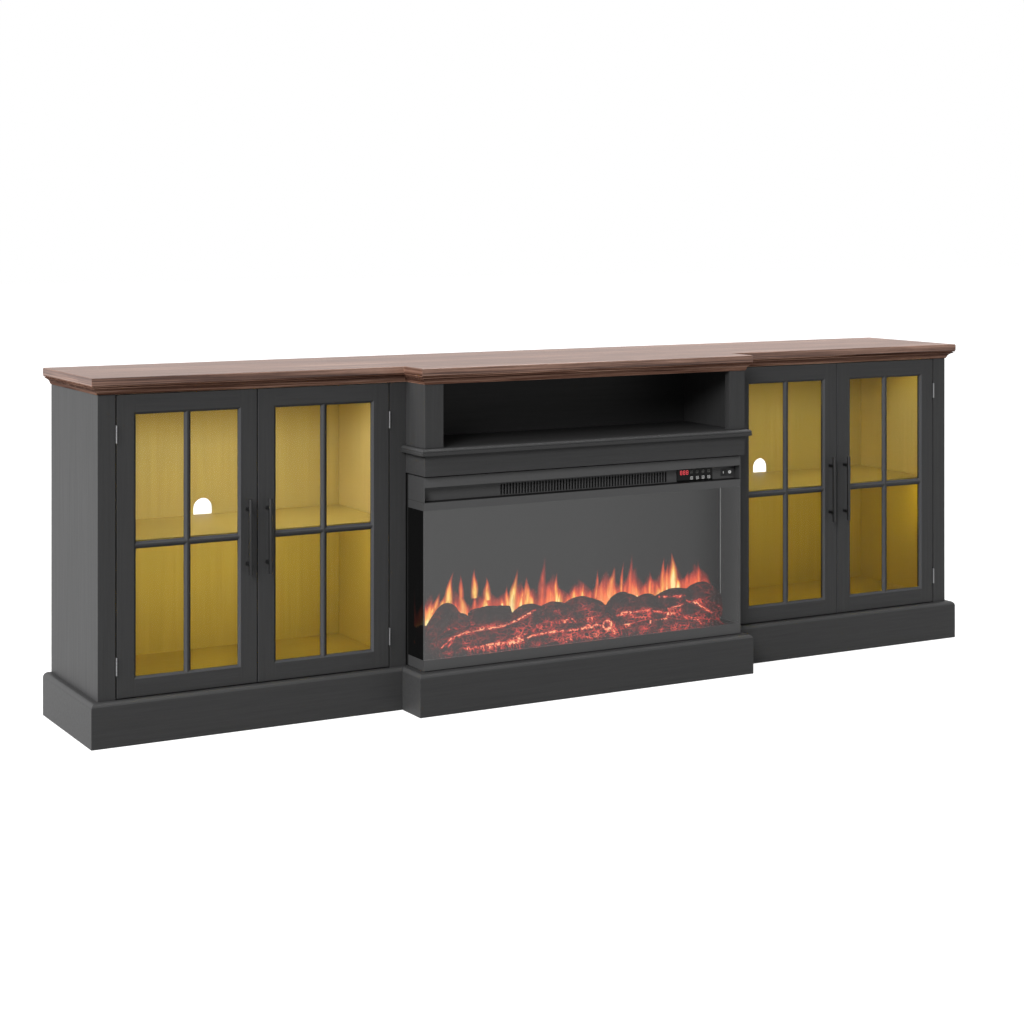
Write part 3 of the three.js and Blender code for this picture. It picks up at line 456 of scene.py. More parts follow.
for hand, side, power, colour, low_power, low_colour in (
    ("left", -1, 2.10, (1.0, 0.985, 1.0), 1.50, (1.0, 0.89, 0.34)),
    ("right", 1, 1.22, (1.0, 0.96, 0.66), 0.88, (1.0, 0.82, 0.06)),
):
    finished(diffuser, f"{hand}_light_bar")
    x = side * strip_middle
    warm_strip(f"{hand}_upper_strip", (x, -0.084, 0.7715), 22, 122, power, colour)
    warm_strip(f"{hand}_lower_strip", (x, -0.070, 0.4150), 36, 180, low_power, low_colour)

# Centre bay: the open cubby over the fire, with its sides, moulded floor, frieze, back and base, all
# boards in the charcoal foil. Its floor and back are painted darker toward the back of the cubby, as
# painted shade in the recess.
cubby_foil, tree, face = new_finish("charcoal_foil_cubby", Specular_IOR_Level=0.15)
place = object_place(tree)
colour = highlighted_rounds(tree, charcoal_face(tree, face, turned(tree, place, (0, 90, 0))))
# Painted shade: darker deeper in the cubby
painted_recess_shade = spread(tree, parted(tree, place)["Y"], 0.0, 0.50, -0.205, -0.04)
fed(tree, face, Base_Color=blended(tree, painted_recess_shade, colour, (0.004, 0.004, 0.004, 1)))
finished(upright, "left_cubby_side", "right_cubby_side")
finished(cubby_foil, "cubby_floor", "centre_back")
finished(level, "frieze_board", "centre_base")
for board in ("left_cubby_side", "right_cubby_side", "cubby_floor", "frieze_board"):
    eased(board)

# Top and cornice: a walnut-veneered board with a profiled moulding glued under its edge, the grain
# along the stand and turned round the corner at the ends. The top is lacquered, the moulding hardly.


def walnut(name, polish, lift, painted_end_shade):
    finish, tree, face = new_finish(
        name, Specular_IOR_Level=0.0, Coat_Weight=polish, Coat_Roughness=0.32)
    place = object_place(tree)
    sideways = reckoned(tree, "ABSOLUTE", object_normal(tree)["X"])
    on_end = spread(tree, sideways, 0.0, 1.0, 0.6, 0.8)
    run = blended(tree, on_end, turned(tree, place, (0, 90, 0)), turned(tree, place, (90, 0, 0)))
    fine, wide = grained(tree, run, 210.0, 80.0), grained(tree, run, 13.0, 20.0)
    colour = tones(tree, spread(tree, fine["Streaks"], 0.0, 1.0, 0.15, 0.85), [
        (stop, tuple(lift * part for part in shade)) for stop, shade in (
            (0.0, (0.022, 0.009, 0.006)), (0.3, (0.088, 0.043, 0.029)),
            (0.6, (0.180, 0.098, 0.069)), (1.0, (0.310, 0.185, 0.136)),
        )
    ])
    # Broad dark figure, then the pores, then painted shade on the faces that look to the ends
    for share, shade in (
        (spread(tree, wide["Streaks"], 0.0, 0.72), (0.062, 0.028, 0.019, 1)),
        (spread(tree, fine["Pores"], 0.0, 0.7), (0.016, 0.006, 0.004, 1)),
        (spread(tree, on_end, 0.0, painted_end_shade), (0.020, 0.009, 0.007, 1)),
    ):
        colour = blended(tree, share, colour, shade)
    fed(tree, face, Base_Color=colour, Roughness=spread(tree, fine["Streaks"], 0.40, 0.30))
    ridged(tree, spread(tree, fine["Pores"], 0.0, -1.0), face, 0.3, 0.0002)
    return finish


finished(walnut("walnut_top", 0.72, 1.20, 0.15), "top_board")
finished(walnut("walnut_moulding", 0.06, 1.35, 0.42), "cornice_moulding")
eased("top_board", 0.0012)

# Doors: stiles, rails and glazing bars wrapped in charcoal foil, the grain along each, round a sheet
# of clear glass that the glazing bars divide in four.
door_middle, rail_to_rail, bar = 0.430, 0.574, 0.0154
leaf_middles, stile_to_stile = (0.657, 0.986), 0.239
painted_highlight_bevel, painted_shade_bevel = (0.052, 0.053, 0.056, 1), (0.008, 0.008, 0.009, 1)
door_foil, tree, face = new_finish("charcoal_foil_doors", Specular_IOR_Level=0.15)
place = object_place(tree)
split = parted(tree, place)
outward = reckoned(tree, "ABSOLUTE", split["X"])
# The grain is level on the rails and the middle bar, and upright on the stiles and the upright bar
between_stiles = reckoned(tree, "MAXIMUM", *(
    within(tree, outward, leaf, stile_to_stile / 2) for leaf in leaf_middles))
off_rails = reckoned(tree, "SUBTRACT", *(
    within(tree, split["Z"], door_middle, reach / 2) for reach in (rail_to_rail, bar)))
level_run = multiplied(tree, between_stiles, spread(tree, off_rails, 1.0, 0.0))
run = blended(tree, level_run, place, turned(tree, place, (0, 90, 0)))
colour = charcoal_face(tree, face, run)
# The bevels round the panes: a painted highlight on those that face left and up, and painted shade on
# those that face right and down
facing = object_normal(tree)
off_edge = within(tree, outward, cabinet_middle, 0.3255)
for axis, end in (("X", -0.35), ("Z", 0.35)):
    pale = multiplied(tree, spread(tree, facing[axis], 0.0, 0.7, end / 2, end), off_edge)
    dark = multiplied(tree, spread(tree, facing[axis], 0.0, 0.6, -end / 2, -end), off_edge)
    colour = blended(tree, dark, blended(tree, pale, colour, painted_highlight_bevel), painted_shade_bevel)
fed(tree, face, Base_Color=colour)


def new_glass(name, shade, ior, **others):
    # Glass that soft light passes straight through, so that the lamps behind it light the room too
    finish, tree, face = new_finish(
        name, Base_Color=(shade, shade, shade, 1), Roughness=0.0, Transmission_Weight=1.0, IOR=ior,
        **others)
    choice = added(
        tree, "ShaderNodeMixShader", Fac=added(tree, "ShaderNodeLightPath").outputs["Is Diffuse Ray"])
    put(tree, face.outputs["BSDF"], choice.inputs[1])
    put(tree, added(tree, "ShaderNodeBsdfTransparent").outputs["BSDF"], choice.inputs[2])
    fed(tree, tree.nodes["Material Output"], Surface=choice.outputs["Shader"])
    return finish, tree, face


clear, tree, face = new_glass("clear_glass", 0.97, 1.12)
fed(tree, face, Base_Color=(0.97, 0.98, 0.97, 1))
for number in (1, 2, 3, 4):
    finished(door_foil, f"door_{number}_frame")
    finished(clear, f"door_{number}_glass")
    eased(f"door_{number}_frame", 0.0006)

# Bar handles: a black powder-coated steel rod with rounded ends on two posts, which are screwed on
# from behind the stile. Each post spreads into a small foot where it meets the stile.


def plain_coat(name, colour, rough_low, rough_high, fineness, gloss=0.5, lift=0.0, metallic=0.0):
    finish, tree, face = new_finish(name, Specular_IOR_Level=gloss, Metallic=metallic)
    speckle = noise(tree, object_place(tree), fineness, Detail=3.0)
    darker = tuple(0.82 * part for part in colour)
    fed(
        tree, face, Base_Color=tones(tree, speckle, [(0.3, darker), (0.7, colour)]),
        Roughness=spread(tree, speckle, rough_low, rough_high, 0.3, 0.7),
    )
    if lift:
        ridged(tree, speckle, face, lift, 0.0001)
    return finish


def round_bar(place, radius, depth, vertices, turn=(0, 0, 0)):
    return started(
        bpy.ops.mesh.primitive_cylinder_add, vertices=vertices, radius=radius, depth=depth,
        location=place, rotation=tuple(math.radians(part) for part in turn))


def at_ends(flat):
    return abs(flat.normal.z) > 0.9


def copied(piece, name, shift):
    copy = bpy.data.objects.new(name, piece.data.copy())
    copy.data.transform(Matrix.Translation(shift))
    bpy.context.collection.objects.link(copy)
    return copy


def smoothed(piece, angle=35):
    bpy.ops.object.select_all(action="DESELECT")
    piece.select_set(True)
    bpy.context.view_layer.objects.active = piece
    bpy.ops.object.shade_smooth_by_angle(angle=math.radians(angle))
    return piece


black_coat = plain_coat("black_powder_coat", (0.0035, 0.0035, 0.0038), 0.38, 0.5, 1400.0, 0.3, 0.25)
grip_parts = [bevelled(round_bar((0, -0.1325, door_middle), 0.0045, 0.170, 32), at_ends, 0.0011, 3)]
for height in (0.369, 0.491):
    post = round_bar((0, -0.1220, height), 0.004, 0.0154, 28, (90, 0, 0))
    picked_faces(post, lambda flat: flat.normal.z < -0.9)
    bpy.ops.mesh.extrude_region_shrink_fatten(TRANSFORM_OT_shrink_fatten={"value": 0.0001})
    bpy.ops.transform.resize(value=(1.3, 1.3, 1.3))
    bpy.ops.object.mode_set(mode="OBJECT")
    grip_parts.append(post)
handle = smoothed(joined("bar_handle", grip_parts))
for number, x in ((1, -0.8455), (2, -0.7975), (3, 0.7975), (4, 0.8455)):
    grip = copied(handle, f"door_{number}_bar_handle", (x, 0, 0))
    dressed(grip, black_coat, f"door_{number}")
    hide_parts(f"door_{number}_handle")
bpy.data.objects.remove(handle)

# Hinges: bright steel butts let into the stiles, with a five-knuckle barrel in front. The door's half
# has three knuckles, and the stile's half has the two between them.
barrel_y = -0.1163
steel = plain_coat("satin_steel", (0.24, 0.24, 0.245), 0.34, 0.46, 900.0, metallic=1.0)


def butt_half(name, knuckle_heights, leaf_x):
    knuckles = [
        bevelled(round_bar((0, 0, height), 0.0018, 0.0074, 20), at_ends, 0.0003, 1)
        for height in knuckle_heights
    ]
    leaf = boxed((leaf_x, 0.0094, 0), (0.0008, 0.0178, 0.039))
    bevelled(leaf, lambda flat: flat.normal.y > 0.9, 0.0012, 2)
    return smoothed(joined(name, [*knuckles, leaf]))


for number, x, toward in ((1, -1.1505, 1), (2, -0.4925, -1), (3, 0.4925, 1), (4, 1.1505, -1)):
    door_half = butt_half("door_half", (-0.016, 0.0, 0.016), toward * 0.0010)
    stile_half = butt_half("stile_half", (-0.008, 0.008), toward * -0.0010)
    for word, height in (("upper", 0.675), ("lower", 0.170)):
        leaf = copied(door_half, f"door_{number}_{word}_butt", (x, barrel_y, height))
        dressed(leaf, steel, f"door_{number}")
        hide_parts(f"door_{number}_{word}_hinge")
        fixed = copied(stile_half, f"stile_{number}_{word}_butt", (x, barrel_y, height))
        dressed(fixed, steel, "carcass")
    bpy.data.objects.remove(door_half)
    bpy.data.objects.remove(stile_half)

# Shelf pins: four short steel pins in each cabinet, pushed into holes in its side boards, on which
# the shelf's ends lie.
outer_wall, inner_wall = 1.1738, 0.4682
for hand, side in hands:
    pins = joined(f"{hand}_shelf_pins", [
        bevelled(
            round_bar((x + inward * 0.0046, y, 0.4144), 0.0024, 0.0090, 20, (0, 90, 0)),
            at_ends, 0.0006, 2)
        for x, inward in ((side * outer_wall, -side), (side * inner_wall, side))
        for y in (-0.030, 0.180)
    ])
    dressed(smoothed(pins), steel, "carcass")

# Catches: a black plastic block with two magnets in its face, screwed under the middle of each shelf,
# which stops a pair of doors.
catch_height = 0.4108
catch_plastic = plain_coat("catch_plastic", (0.012, 0.012, 0.0125), 0.45, 0.6, 1200.0, 0.3, 0.2)
for hand, side in hands:
    block = boxed((side * cabinet_middle, -0.0805, catch_height), (0.0230, 0.0250, 0.0120))
    picked_faces(block, lambda flat: flat.normal.y < -0.9)
    bpy.ops.mesh.inset(thickness=0.0016)
    bpy.ops.mesh.extrude_region_move(TRANSFORM_OT_translate={"value": (0, 0.0012, 0)})
    bpy.ops.mesh.select_all(action="SELECT")
    bpy.ops.mesh.bevel(offset=0.0003, segments=1)
    bpy.ops.object.mode_set(mode="OBJECT")
    magnets = [
        bevelled(
            round_bar(
                (side * cabinet_middle + shift, -0.0922, catch_height), 0.0036, 0.0010, 24, (90, 0, 0)),
            lambda flat: flat.normal.z > 0.9, 0.0002, 1)
        for shift in (-0.0058, 0.0058)
    ]
    catch = smoothed(joined(f"{hand}_catch", [block, *magnets]))
    dressed(catch, catch_plastic, "carcass")

# Fire insert: a painted sheet-steel housing with a slotted header and a bottom trim, glazed on its
# front and both ends. The header's recess floor is painted black as painted shadow, and the faces that
# look left are painted darker as painted shade.
insert_paint = plain_coat("insert_paint", (0.063, 0.063, 0.0635), 0.42, 0.55, 1500.0, 0.2, 0.15)
tree = insert_paint.node_tree
face = tree.nodes["Principled BSDF"]
colour = face.inputs["Base Color"].links[0].from_socket
# Painted shade on the faces that look left, then a painted shadow on the recess floor
shaded_left_end = spread(tree, object_normal(tree)["X"], 0.0, 0.9, -0.5, -0.9)
painted_recess_shadow = within(tree, parted(tree, object_place(tree))["Z"], 0.4880, 0.0005)
colour = blended(tree, shaded_left_end, colour, (0.031, 0.031, 0.0315, 1))
fed(tree, face, Base_Color=blended(tree, painted_recess_shadow, colour, (0.003, 0.003, 0.003, 1)))
finished(insert_paint, "header_fascia", "bottom_trim")
finished(plain_coat("housing_paint", (0.008, 0.008, 0.008), 0.6, 0.7, 300.0, 0.1), "firebox_housing")
# The front pane glows a faint grey, a painted reflection of the bright room, which thins out toward its
# right end
painted_sheen_glass, tree, face = new_glass("fire_glass", 0.97, 1.06, Emission_Strength=0.46)
across = spread(tree, parted(tree, object_place(tree))["X"], 0.0, 1.0, -0.44, 0.44)
fed(tree, face, Emission_Color=tones(tree, across, [
    (share, (painted_sheen, painted_sheen, painted_sheen)) for share, painted_sheen in (
        (0.0, 0.100), (0.5, 0.094), (0.84, 0.080), (0.95, 0.050), (0.975, 0.056), (1.0, 0.066),
    )
]))
finished(painted_sheen_glass, "front_glass")
# The end panes glow faintly as well, as painted light
for hand, painted_sheen in (("left", 0.0052), ("right", 0.0135)):
    side_pane, tree, face = new_glass(
        f"{hand}_fire_glass", 0.03, 1.04, Emission_Color=(1, 1, 1, 1), Emission_Strength=painted_sheen)
    finished(side_pane, f"{hand}_glass")
soft_plastic = plain_coat("soft_black_plastic", (0.012, 0.012, 0.0125), 0.5, 0.62, 1600.0, 0.3, 0.2)
finished(soft_plastic, "key_1", "key_2", "key_3", "key_4", "power_rocker", "fan_drum", "cord_gland")
finished(
    plain_coat("gloss_black_plastic", (0.004, 0.004, 0.004), 0.08, 0.12, 300.0, 0.1), "control_panel")
finished(
    plain_coat("bright_foil", (0.8, 0.8, 0.81), 0.15, 0.3, 200.0, metallic=1.0), "flame_rotor")
finished(plain_coat("dark_film", (0.004, 0.004, 0.004), 0.6, 0.7, 40.0, 0.03), "flame_screen")

# Pane bead: a pale silicone strip that seals the rear edge of the right pane, pressed into the corner
# and seen through the front pane. It also glows faintly, as painted light.
bead_painted_glow, tree, face = new_finish(
    "bead_silicone", Roughness=0.6, Emission_Color=(1, 1, 1, 1), Emission_Strength=0.05)
fed(tree, face, Base_Color=mottled(tree, 300.0, 2.0, (0.42, 0.42, 0.42), (0.50, 0.50, 0.50)))
bead = bevelled(round_bar((0.4407, -0.1207, 0.2967), 0.0009, 0.3430, 16), at_ends, 0.0003, 2)
dressed(smoothed(joined("right_pane_bead", [bead])), bead_painted_glow, "carcass")

# Controls behind the header's gloss panel: a red three-digit display, four icon lamps that are off,
# and a sign printed on each key. The rocker carries its two marks.
panel_front, display_height, icon_height = -0.1780, 0.5103, 0.5112
lit_red, tree, face = new_finish(
    "display_red", Base_Color=(0.05, 0.0, 0.0, 1), Roughness=0.4, Emission_Strength=0.95)
fed(tree, face, Emission_Color=mottled(tree, 900.0, 2.0, (1.0, 0.050, 0.070), (1.0, 0.080, 0.100)))
dim_print, white_print, bright_print = (
    plain_coat(name, colour, 0.5, 0.6, 700.0, 0.1) for name, colour in (
        ("icon_off", (0.20, 0.20, 0.19)), ("white_print", (0.62, 0.62, 0.61)),
        ("bright_print", (0.93, 0.93, 0.92)),
    )
)
bar_lift, ring_lift = 0.0001, 0.00012


def flat_bar(front, x, z, wide, tall, lean=0.0):
    # A printed or lit bar, 0.2 mm thick on the surface, with its front's edges taken off
    bar = boxed((x, front - bar_lift, z), (wide, 2 * bar_lift, tall), lean)
    return bevelled(bar, lambda flat: flat.normal.y < -0.9, 0.00008, 1)


def outline(front, x, z, size, stroke, corners):
    # A rounded square ring, 0.12 mm thick on the surface
    ring = started(
        bpy.ops.mesh.primitive_plane_add, size=size, location=(x, front - ring_lift, z),
        rotation=(math.radians(90), 0, 0))
    bpy.ops.object.mode_set(mode="EDIT")
    bpy.ops.mesh.select_all(action="SELECT")
    bpy.ops.mesh.bevel(offset=corners, segments=5, affect="VERTICES")
    bpy.ops.mesh.inset(thickness=stroke)
    bpy.ops.mesh.delete(type="FACE")
    bpy.ops.mesh.select_all(action="SELECT")
    bpy.ops.mesh.extrude_region_move(TRANSFORM_OT_translate={"value": (0, ring_lift, 0)})
    bpy.ops.mesh.select_all(action="SELECT")
    bpy.ops.mesh.normals_make_consistent(inside=False)
    bpy.ops.object.mode_set(mode="OBJECT")
    return ring


for number, x in enumerate((0.2820, 0.2910, 0.3000)):
    strokes = [
        flat_bar(panel_front, x, display_height + rise, 0.0042, 0.0012)
        for rise in (-0.0047, 0.0, 0.0047)
    ] + [
        flat_bar(panel_front, x + sideways, display_height + rise, 0.0012, 0.0042)
        for sideways in (-0.0025, 0.0025) for rise in (-0.00235, 0.00235)
    ]
    dressed(joined(f"display_digit_{number + 1}", strokes), lit_red, "carcass")

for number, x in enumerate((0.3130, 0.3303, 0.3476, 0.3649)):
    icon = [outline(panel_front, x, icon_height, 0.0070, 0.0010, 0.0010)]
    if number % 2:
        icon.append(flat_bar(panel_front, x, icon_height - 0.0006, 0.0030, 0.0009, 45))
        icon.append(flat_bar(panel_front, x, icon_height + 0.0006, 0.0009, 0.0030, 20))
    else:
        icon.append(flat_bar(panel_front, x, icon_height, 0.0030, 0.0026))
    dressed(joined(f"icon_{number + 1}", icon), dim_print, "carcass")

# Each key's sign, as bars in mm from the key's middle: across, up, width, height, lean in degrees
key_signs = {
    1: [(0, 1.1, 0.9, 2.4, 0), (-1.4, -0.6, 0.7, 2.6, 0), (1.4, -0.6, 0.7, 2.6, 0),
        (0, -1.8, 2.8, 0.7, 0)],
    2: [(0, 0, 3.6, 0.8, 40), (0, 0, 3.6, 0.8, -40), (0, -1.9, 3.0, 0.7, 0)],
    3: [(-1.2, 0.4, 0.8, 3.2, 0), (0.9, -1.2, 2.6, 0.8, 0), (1.2, 1.0, 1.8, 0.7, -30)],
    4: [(0.6, -0.7, 2.6, 2.6, 0), (-1.6, 1.4, 1.2, 0.8, 45)],
}
for number, signs in key_signs.items():
    key = nodes[f"key_{number}"]
    xs, ys, zs = zip(*(key.matrix_world @ Vector(corner) for corner in key.bound_box))
    x, front, z = (min(xs) + max(xs)) / 2, min(ys), (min(zs) + max(zs)) / 2
    sign = [outline(front, x, z, 0.0078, 0.0011, 0.0012)]
    for across, rise, wide, tall, lean in signs:
        sign.append(flat_bar(front, x + across / 1000, z + rise / 1000, wide / 1000, tall / 1000, lean))
    dressed(joined(f"key_{number}_sign", sign), white_print, f"key_{number}_cap")

for name, x, ring in (("rocker_on_mark", 0.4112, False), ("rocker_off_mark", 0.4292, True)):
    inward = Vector((0, 1, 0))
    spot, facing = nodes["power_rocker"].ray_cast(Vector((x, -0.3, 0.504)), inward)[1:3]
    if ring:
        mark = joined(name, [outline(ring_lift, 0, 0, 0.0076, 0.0024, 0.0037)])
    else:
        mark = joined(name, [flat_bar(bar_lift, 0, 0, 0.0021, 0.0054)])
    tilt = (-inward).rotation_difference(facing).to_matrix().to_4x4()
    mark.data.transform(Matrix.Translation(spot + facing * 0.00016) @ tilt)
    dressed(mark, bright_print, "rocker")

# Log set: a cast resin bed of coals with fourteen charred logs on it, painted black and brown, and
# lit from below so that the cracks and the undersides glow.
charred, tree, face = new_finish(
    "charred_resin", Roughness=0.85, Specular_IOR_Level=0.1, Emission_Strength=1.0)
place = object_place(tree)
embers, zone = (
    added(tree, "ShaderNodeAttribute", {"attribute_name": label}).outputs["Fac"]
    for label in ("ember_line", "zone")
)
mottle = noise(tree, place, 150.0, Detail=5.0, Roughness=0.65)
patchy = noise(tree, place, 26.0, Detail=3.0)
stray = added(tree, "ShaderNodeTexNoise", Vector=place, Scale=60.0, Detail=3.0).outputs["Color"]
drawn_out = reckoned(tree, "MULTIPLY", place, (0.5, 1.0, 1.0), kind="ShaderNodeVectorMath")
strayed = reckoned(
    tree, "MULTIPLY_ADD", stray, (0.010, 0.012, 0.012), drawn_out, kind="ShaderNodeVectorMath")
wide_cracks, fine_cracks = (
    spread(tree, added(
        tree, "ShaderNodeTexVoronoi", {"feature": "DISTANCE_TO_EDGE"}, Vector=strayed, Scale=fineness,
    ).outputs["Distance"], 1.0, 0.0, 0.0, reach)
    for fineness, reach in ((62.0, 0.070), (165.0, 0.11))
)
cracked = multiplied(
    tree, reckoned(tree, "MAXIMUM", wide_cracks, multiplied(tree, fine_cracks, 0.85)),
    spread(tree, patchy, 0.12, 1.25, 0.36, 0.64),
)
zoned = multiplied(tree, reckoned(tree, "ADD", cracked, 0.07), zone)
lined_heat = multiplied(
    tree, embers, spread(tree, mottle, 0.15, 1.45, 0.42, 0.60),
    spread(tree, patchy, 0.65, 1.15, 0.38, 0.62),
)
fed(
    tree, face,
    Base_Color=tones(tree, mottle, [
        (0.35, (0.003, 0.002, 0.002)), (0.55, (0.008, 0.005, 0.004)), (0.75, (0.020, 0.013, 0.011)),
    ]),
    Emission_Color=tones(tree, reckoned(tree, "ADD", zoned, lined_heat), [
        (0.0, (0.0, 0.0, 0.0)), (0.12, (0.030, 0.003, 0.003)), (0.35, (0.260, 0.012, 0.010)),
        (0.6, (0.760, 0.052, 0.034)), (0.82, (1.000, 0.230, 0.105)), (1.0, (1.000, 0.500, 0.250)),
    ]),
)
ridged(tree, mottle, face, 0.5, 0.001)

# Each log: how hot its cracks are, then its points as shares of the bed's half width, depth, reach
# above the floor and usual radius
log_half, log_front, log_depth = 0.4394, -0.1944, 0.0748
log_floor, log_reach, log_radius = 0.1006, 0.138, 0.022
log_rows = [
    (0.3, [(-0.94, 0.72, 0.4, 0.85), (-0.875, 0.72, 0.62, 1.0), (-0.81, 0.72, 0.855, 0.95),
           (-0.76, 0.72, 0.68, 1.0), (-0.69, 0.72, 0.62, 0.9)]),
    (0.28, [(-0.66, 0.72, 0.69, 1.0), (-0.545, 0.7, 0.72, 1.0), (-0.43, 0.72, 0.71, 0.95)]),
    (0.3, [(-0.43, 0.7, 0.5, 0.85), (-0.32, 0.7, 0.72, 0.95), (-0.22, 0.7, 0.6, 0.85)]),
    (0.42, [(-0.245, 0.7, 0.6, 0.85), (-0.15, 0.7, 0.7, 0.95), (-0.06, 0.7, 0.63, 0.85)]),
    (0.45, [(-0.065, 0.7, 0.63, 0.9), (0.035, 0.7, 0.72, 1.0), (0.16, 0.7, 0.605, 0.9)]),
    (0.35, [(0.2, 0.68, 0.5, 0.85), (0.295, 0.7, 0.7, 0.95), (0.39, 0.7, 0.625, 0.9)]),
    (0.3, [(0.365, 0.7, 0.6, 0.85), (0.465, 0.7, 0.65, 0.9), (0.52, 0.7, 0.55, 0.8)]),
    (0.3, [(0.505, 0.7, 0.56, 0.9), (0.615, 0.7, 0.69, 1.0), (0.76, 0.7, 0.66, 0.9)]),
    (0.36, [(0.74, 0.68, 0.69, 0.85), (0.83, 0.68, 0.765, 1.0), (0.92, 0.66, 0.56, 0.9),
            (0.945, 0.64, 0.26, 0.8)]),
    (0.52, [(-0.875, 0.36, 0.2, 0.7), (-0.775, 0.39, 0.37, 0.8), (-0.57, 0.39, 0.41, 0.82),
            (-0.4, 0.43, 0.49, 0.82), (-0.29, 0.52, 0.62, 0.75)]),
    (0.64, [(-0.365, 0.27, 0.25, 0.7), (-0.135, 0.29, 0.345, 0.78), (0.09, 0.27, 0.33, 0.78),
            (0.17, 0.33, 0.42, 0.7)]),
    (0.5, [(0.215, 0.4, 0.46, 0.75), (0.365, 0.42, 0.55, 0.78), (0.555, 0.46, 0.47, 0.72)]),
    (0.45, [(0.68, 0.4, 0.52, 0.72), (0.785, 0.38, 0.415, 0.74), (0.9, 0.38, 0.23, 0.68)]),
    (0.66, [(0.27, 0.22, 0.19, 0.62), (0.525, 0.24, 0.25, 0.66), (0.75, 0.22, 0.18, 0.6)]),
]


def through(points, share):
    # The place at a share of the way along a smooth line through the points
    spans = len(points) - 1
    span = min(int(share * spans), spans - 1)
    t = share * spans - span
    before = points[max(span - 1, 0)]
    first, second = points[span], points[span + 1]
    after = points[min(span + 2, spans)]
    return tuple(
        0.5 * (
            2 * b + (c - a) * t + (2 * a - 5 * b + 4 * c - d) * t * t
            + (3 * b - a - 3 * c + d) * t ** 3
        )
        for a, b, c, d in zip(before, first, second, after)
    )


# Where the fire has eaten deepest, as lines of (x, z) in the upright plane through the front logs:
# how hot the line is, how wide, then its points
ember_depth = -0.165
ember_lines = [
    (0.85, 0.0019, [(-0.3822, 0.1421), (-0.3559, 0.161), (-0.3153, 0.1712), (-0.2559, 0.1743),
                    (-0.2166, 0.1761), (-0.1812, 0.1852), (-0.1306, 0.206)]),
    (0.8, 0.0018, [(-0.3201, 0.1322), (-0.2434, 0.1349), (-0.1812, 0.134), (-0.1392, 0.1445),
                   (-0.1032, 0.1481), (-0.0624, 0.1489), (0.0036, 0.1479), (0.0383, 0.1486)]),
    (0.9, 0.0018, [(0.0736, 0.161), (0.0826, 0.1582), (0.0865, 0.15), (0.0826, 0.142), (0.0736, 0.1392),
                   (0.0646, 0.142), (0.0607, 0.15), (0.0646, 0.1582), (0.0736, 0.161)]),
    (0.55, 0.0017, [(0.1232, 0.168), (0.134, 0.172), (0.145, 0.169), (0.152, 0.16), (0.148, 0.15),
                    (0.136, 0.1455), (0.124, 0.149)]),
    (1.0, 0.0015, [(0.1985, 0.156), (0.199, 0.143)]),
    (0.75, 0.0017, [(0.006, 0.15), (0.018, 0.156), (0.03, 0.15), (0.042, 0.1555), (0.054, 0.15)]),
    (0.85, 0.002, [(0.0915, 0.1674), (0.1225, 0.1774), (0.1446, 0.1736)]),
    (0.75, 0.002, [(0.3071, 0.1879), (0.3394, 0.1772), (0.3836, 0.1499)]),
    (0.65, 0.002, [(0.2246, 0.2049), (0.2978, 0.2005)]),
    (0.5, 0.0024, [(0.1103, 0.1705), (0.1842, 0.1765), (0.2681, 0.1591)]),
    (0.7, 0.0019, [(-0.3822, 0.1421), (-0.37, 0.15), (-0.364, 0.142), (-0.356, 0.153)]),
]


def ember_heat(spot):
    # How hot a place is: seen along the view's line, how near it is to an ember line
    eye = view.location
    reach = (ember_depth - eye.y) / (spot.y - eye.y)
    flat = Vector((eye.x + (spot.x - eye.x) * reach, eye.z + (spot.z - eye.z) * reach))
    hottest = 0.0
    for strength, width, points in ember_lines:
        for first, second in zip(points, points[1:]):
            first, second = Vector(first), Vector(second)
            along = (flat - first).dot(second - first) / (second - first).length_squared
            gap = (flat - first.lerp(second, max(0.0, min(1.0, along)))).length / width
            if gap < 4:
                line, halo = math.exp(-gap * gap), 0.22 * math.exp(-(gap / 2.6) ** 2)
                hottest = max(hottest, strength * (line + halo))
    return hottest


def warmed(piece, heats):
    # Each vertex keeps its heat by the ember lines and in its cracks, for the material to read
    for label, values in zip(("ember_line", "zone"), zip(*heats)):
        piece.data.attributes.new(label, "FLOAT", "POINT").data.foreach_set("value", values)
    piece.data.update()


def turned_outward():
    # The end of a shape's edit: all its faces are made to point outward
    bpy.ops.mesh.select_all(action="SELECT")
    bpy.ops.mesh.normals_make_consistent(inside=False)
    bpy.ops.object.mode_set(mode="OBJECT")


bark_scale = 1.5588457
log_ends, log_faces, bed_floor = (-0.4390, 0.4180), (-0.1940, -0.1225), 0.1010


